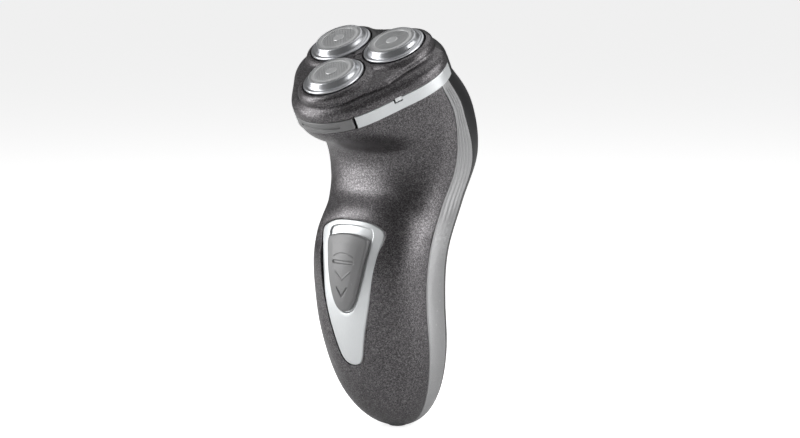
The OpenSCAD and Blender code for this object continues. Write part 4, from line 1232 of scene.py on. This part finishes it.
def makeFinish(name, own):
    f = {**plainFinish, **own}
    mat = bpy.data.materials.new(name)
    mat.use_nodes = True
    t = mat.node_tree
    t.nodes.clear()
    out = nodeIn(t, "ShaderNodeOutputMaterial")
    shader = nodeIn(t, "ShaderNodeBsdfPrincipled")
    t.links.new(shader.outputs[0], out.inputs[0])
    g = nodeIn(t, "ShaderNodeGroup")
    g.node_tree = groups[f["kind"]]
    g.inputs["Size"].default_value = f["size"]
    edgeLightAndShade = nodeIn(t, "ShaderNodeGroup")
    edgeLightAndShade.node_tree = groups["edge"]
    mix = nodeIn(t, "ShaderNodeMix", data_type="RGBA")
    mix.inputs[6].default_value = (*f["low"], 1)
    mix.inputs[7].default_value = (*f["high"], 1)
    t.links.new(g.outputs["Shade"], mix.inputs[0])
    # painted highlight: convex edges, found by pointiness, are lightened towards a brighter colour
    worn = nodeIn(t, "ShaderNodeMix", data_type="RGBA")
    t.links.new(mathNode(t, "MULTIPLY", edgeLightAndShade.outputs["Mask"], f.get("worn", 0.25)), worn.inputs[0])
    t.links.new(mix.outputs[2], worn.inputs[6])
    worn.inputs[7].default_value = (*[min(c * 1.5 + 0.03, 1) for c in f["high"]], 1)
    # painted shade: hollows, found by pointiness, are darkened almost to black
    paintedHollowShade = nodeIn(t, "ShaderNodeMix", data_type="RGBA")
    t.links.new(mathNode(t, "MULTIPLY", edgeLightAndShade.outputs["Hollow"], f["hollowShadeStrength"]), paintedHollowShade.inputs[0])
    t.links.new(worn.outputs[2], paintedHollowShade.inputs[6])
    paintedHollowShade.inputs[7].default_value = (*[c * 0.06 for c in f["low"]], 1)
    t.links.new(paintedHollowShade.outputs[2], shader.inputs["Base Color"])
    shader.inputs["Metallic"].default_value = f["metallic"]
    rough = nodeIn(t, "ShaderNodeMapRange")
    rough.inputs["To Min"].default_value, rough.inputs["To Max"].default_value = f["rough"]
    rough.inputs["From Min"].default_value, rough.inputs["From Max"].default_value = 0.3, 0.7
    t.links.new(g.outputs["Cloud"], rough.inputs["Value"])
    t.links.new(rough.outputs[0], shader.inputs["Roughness"])
    bump = nodeIn(t, "ShaderNodeBump")
    bump.inputs["Strength"].default_value = f["bump"]
    bump.inputs["Distance"].default_value = f["depth"] * 10
    t.links.new(g.outputs["Height"], bump.inputs["Height"])
    t.links.new(bump.outputs[0], shader.inputs["Normal"])
    shader.inputs["Coat Weight"].default_value = f["coat"]
    shader.inputs["Coat Roughness"].default_value = f["coatRough"]
    return mat


finishOf = {k: makeFinish(k, f) for k, f in finishes.items()}
for sub in frame["record"]["subparts"]:
    ob = frame["nodes"].get(sub["node"])
    if ob is None:
        continue
    ob.data.materials.clear()
    ob.data.materials.append(finishOf[sub["material_slot"]])
for ob in bpy.context.scene.objects:
    if ob.type == "MESH" and "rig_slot" in ob:
        ob.data.materials.clear()
        ob.data.materials.append(finishOf[ob["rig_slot"]])
        if "tabFaces" in ob:
            ob.data.materials.append(finishOf["silver_trim"])
            for i in ob["tabFaces"]:
                ob.data.polygons[i].material_index = 1
        if "innerFaces" in ob:
            ob.data.materials.append(finishOf["guardFoil"])
            for i in ob["innerFaces"]:
                ob.data.polygons[i].material_index = 1
            del ob["innerFaces"]
print("materials", len(bpy.data.materials))

lightForm = {
    "left": dict(turn=-88, rise=14, away=0.75, size=(0.38, 0.95), power=7.0, colour=(1, 1, 1)),
    "right": dict(turn=70, rise=14, away=0.8, size=(0.62, 0.95), power=6.5, colour=(1, 1, 1)),
    "top": dict(turn=150, rise=74, away=0.8, size=(0.8, 0.8), power=2.0, colour=(1, 1, 1)),
}


def softBox(name, f):
    data = bpy.data.lights.new(name, "AREA")
    data.shape = "RECTANGLE"
    data.size, data.size_y = f["size"]
    data.energy = f["power"]
    data.color = f["colour"]
    ob = bpy.data.objects.new(name, data)
    a, e = math.radians(view["azimuth"] + f["turn"]), math.radians(f["rise"])
    where = Vector((math.sin(a) * math.cos(e), -math.cos(a) * math.cos(e), math.sin(e)))
    target = Vector((0, -0.005, 0.08))
    aim = where.to_track_quat("Z", "Y").to_matrix().to_4x4()
    ob.matrix_world = Matrix.Translation(target + where * f["away"]) @ aim
    bpy.context.scene.collection.objects.link(ob)
    return ob


for name, f in lightForm.items():
    softBox(name + "Light", f)

stageForm = {"half": 6.0, "glow": 0.75, "white": (0.9, 0.9, 0.9), "worldLight": 0.13, "worldSeen": 1.0}
reach = stageForm["half"] / mm
floorCorners = [(-reach, -reach, 0), (reach, -reach, 0), (reach, reach, 0), (-reach, reach, 0)]
floor = meshFrom("floor", floorCorners, [(0, 1, 2, 3)], False)
floorMat = bpy.data.materials.new("paleFloor")
floorMat.use_nodes = True
ft = floorMat.node_tree
floorShader = ft.nodes["Principled BSDF"]
floorShader.inputs["Roughness"].default_value = 0.7
floorShader.inputs["Base Color"].default_value = (*stageForm["white"], 1)
floorShader.inputs["Emission Color"].default_value = (1, 1, 1, 1)
floorPath = nodeIn(ft, "ShaderNodeLightPath")
floorGlow = mathNode(ft, "MULTIPLY", floorPath.outputs["Is Camera Ray"], stageForm["glow"])
ft.links.new(floorGlow, floorShader.inputs["Emission Strength"])
floor.data.materials.append(floorMat)
world = bpy.data.worlds.new("studio")
bpy.context.scene.world = world
world.use_nodes = True
wt = world.node_tree
wt.nodes.clear()
wOut = nodeIn(wt, "ShaderNodeOutputWorld")
dim, seen = nodeIn(wt, "ShaderNodeBackground"), nodeIn(wt, "ShaderNodeBackground")
dim.inputs["Strength"].default_value = stageForm["worldLight"]
seen.inputs["Strength"].default_value = stageForm["worldSeen"]
for n in (dim, seen):
    n.inputs["Color"].default_value = (1, 1, 1, 1)
path = nodeIn(wt, "ShaderNodeLightPath")
both = nodeIn(wt, "ShaderNodeMixShader")
wt.links.new(path.outputs["Is Camera Ray"], both.inputs[0])
wt.links.new(dim.outputs[0], both.inputs[1])
wt.links.new(seen.outputs[0], both.inputs[2])
wt.links.new(both.outputs[0], wOut.inputs[0])
bpy.context.scene.view_settings.view_transform = "Standard"
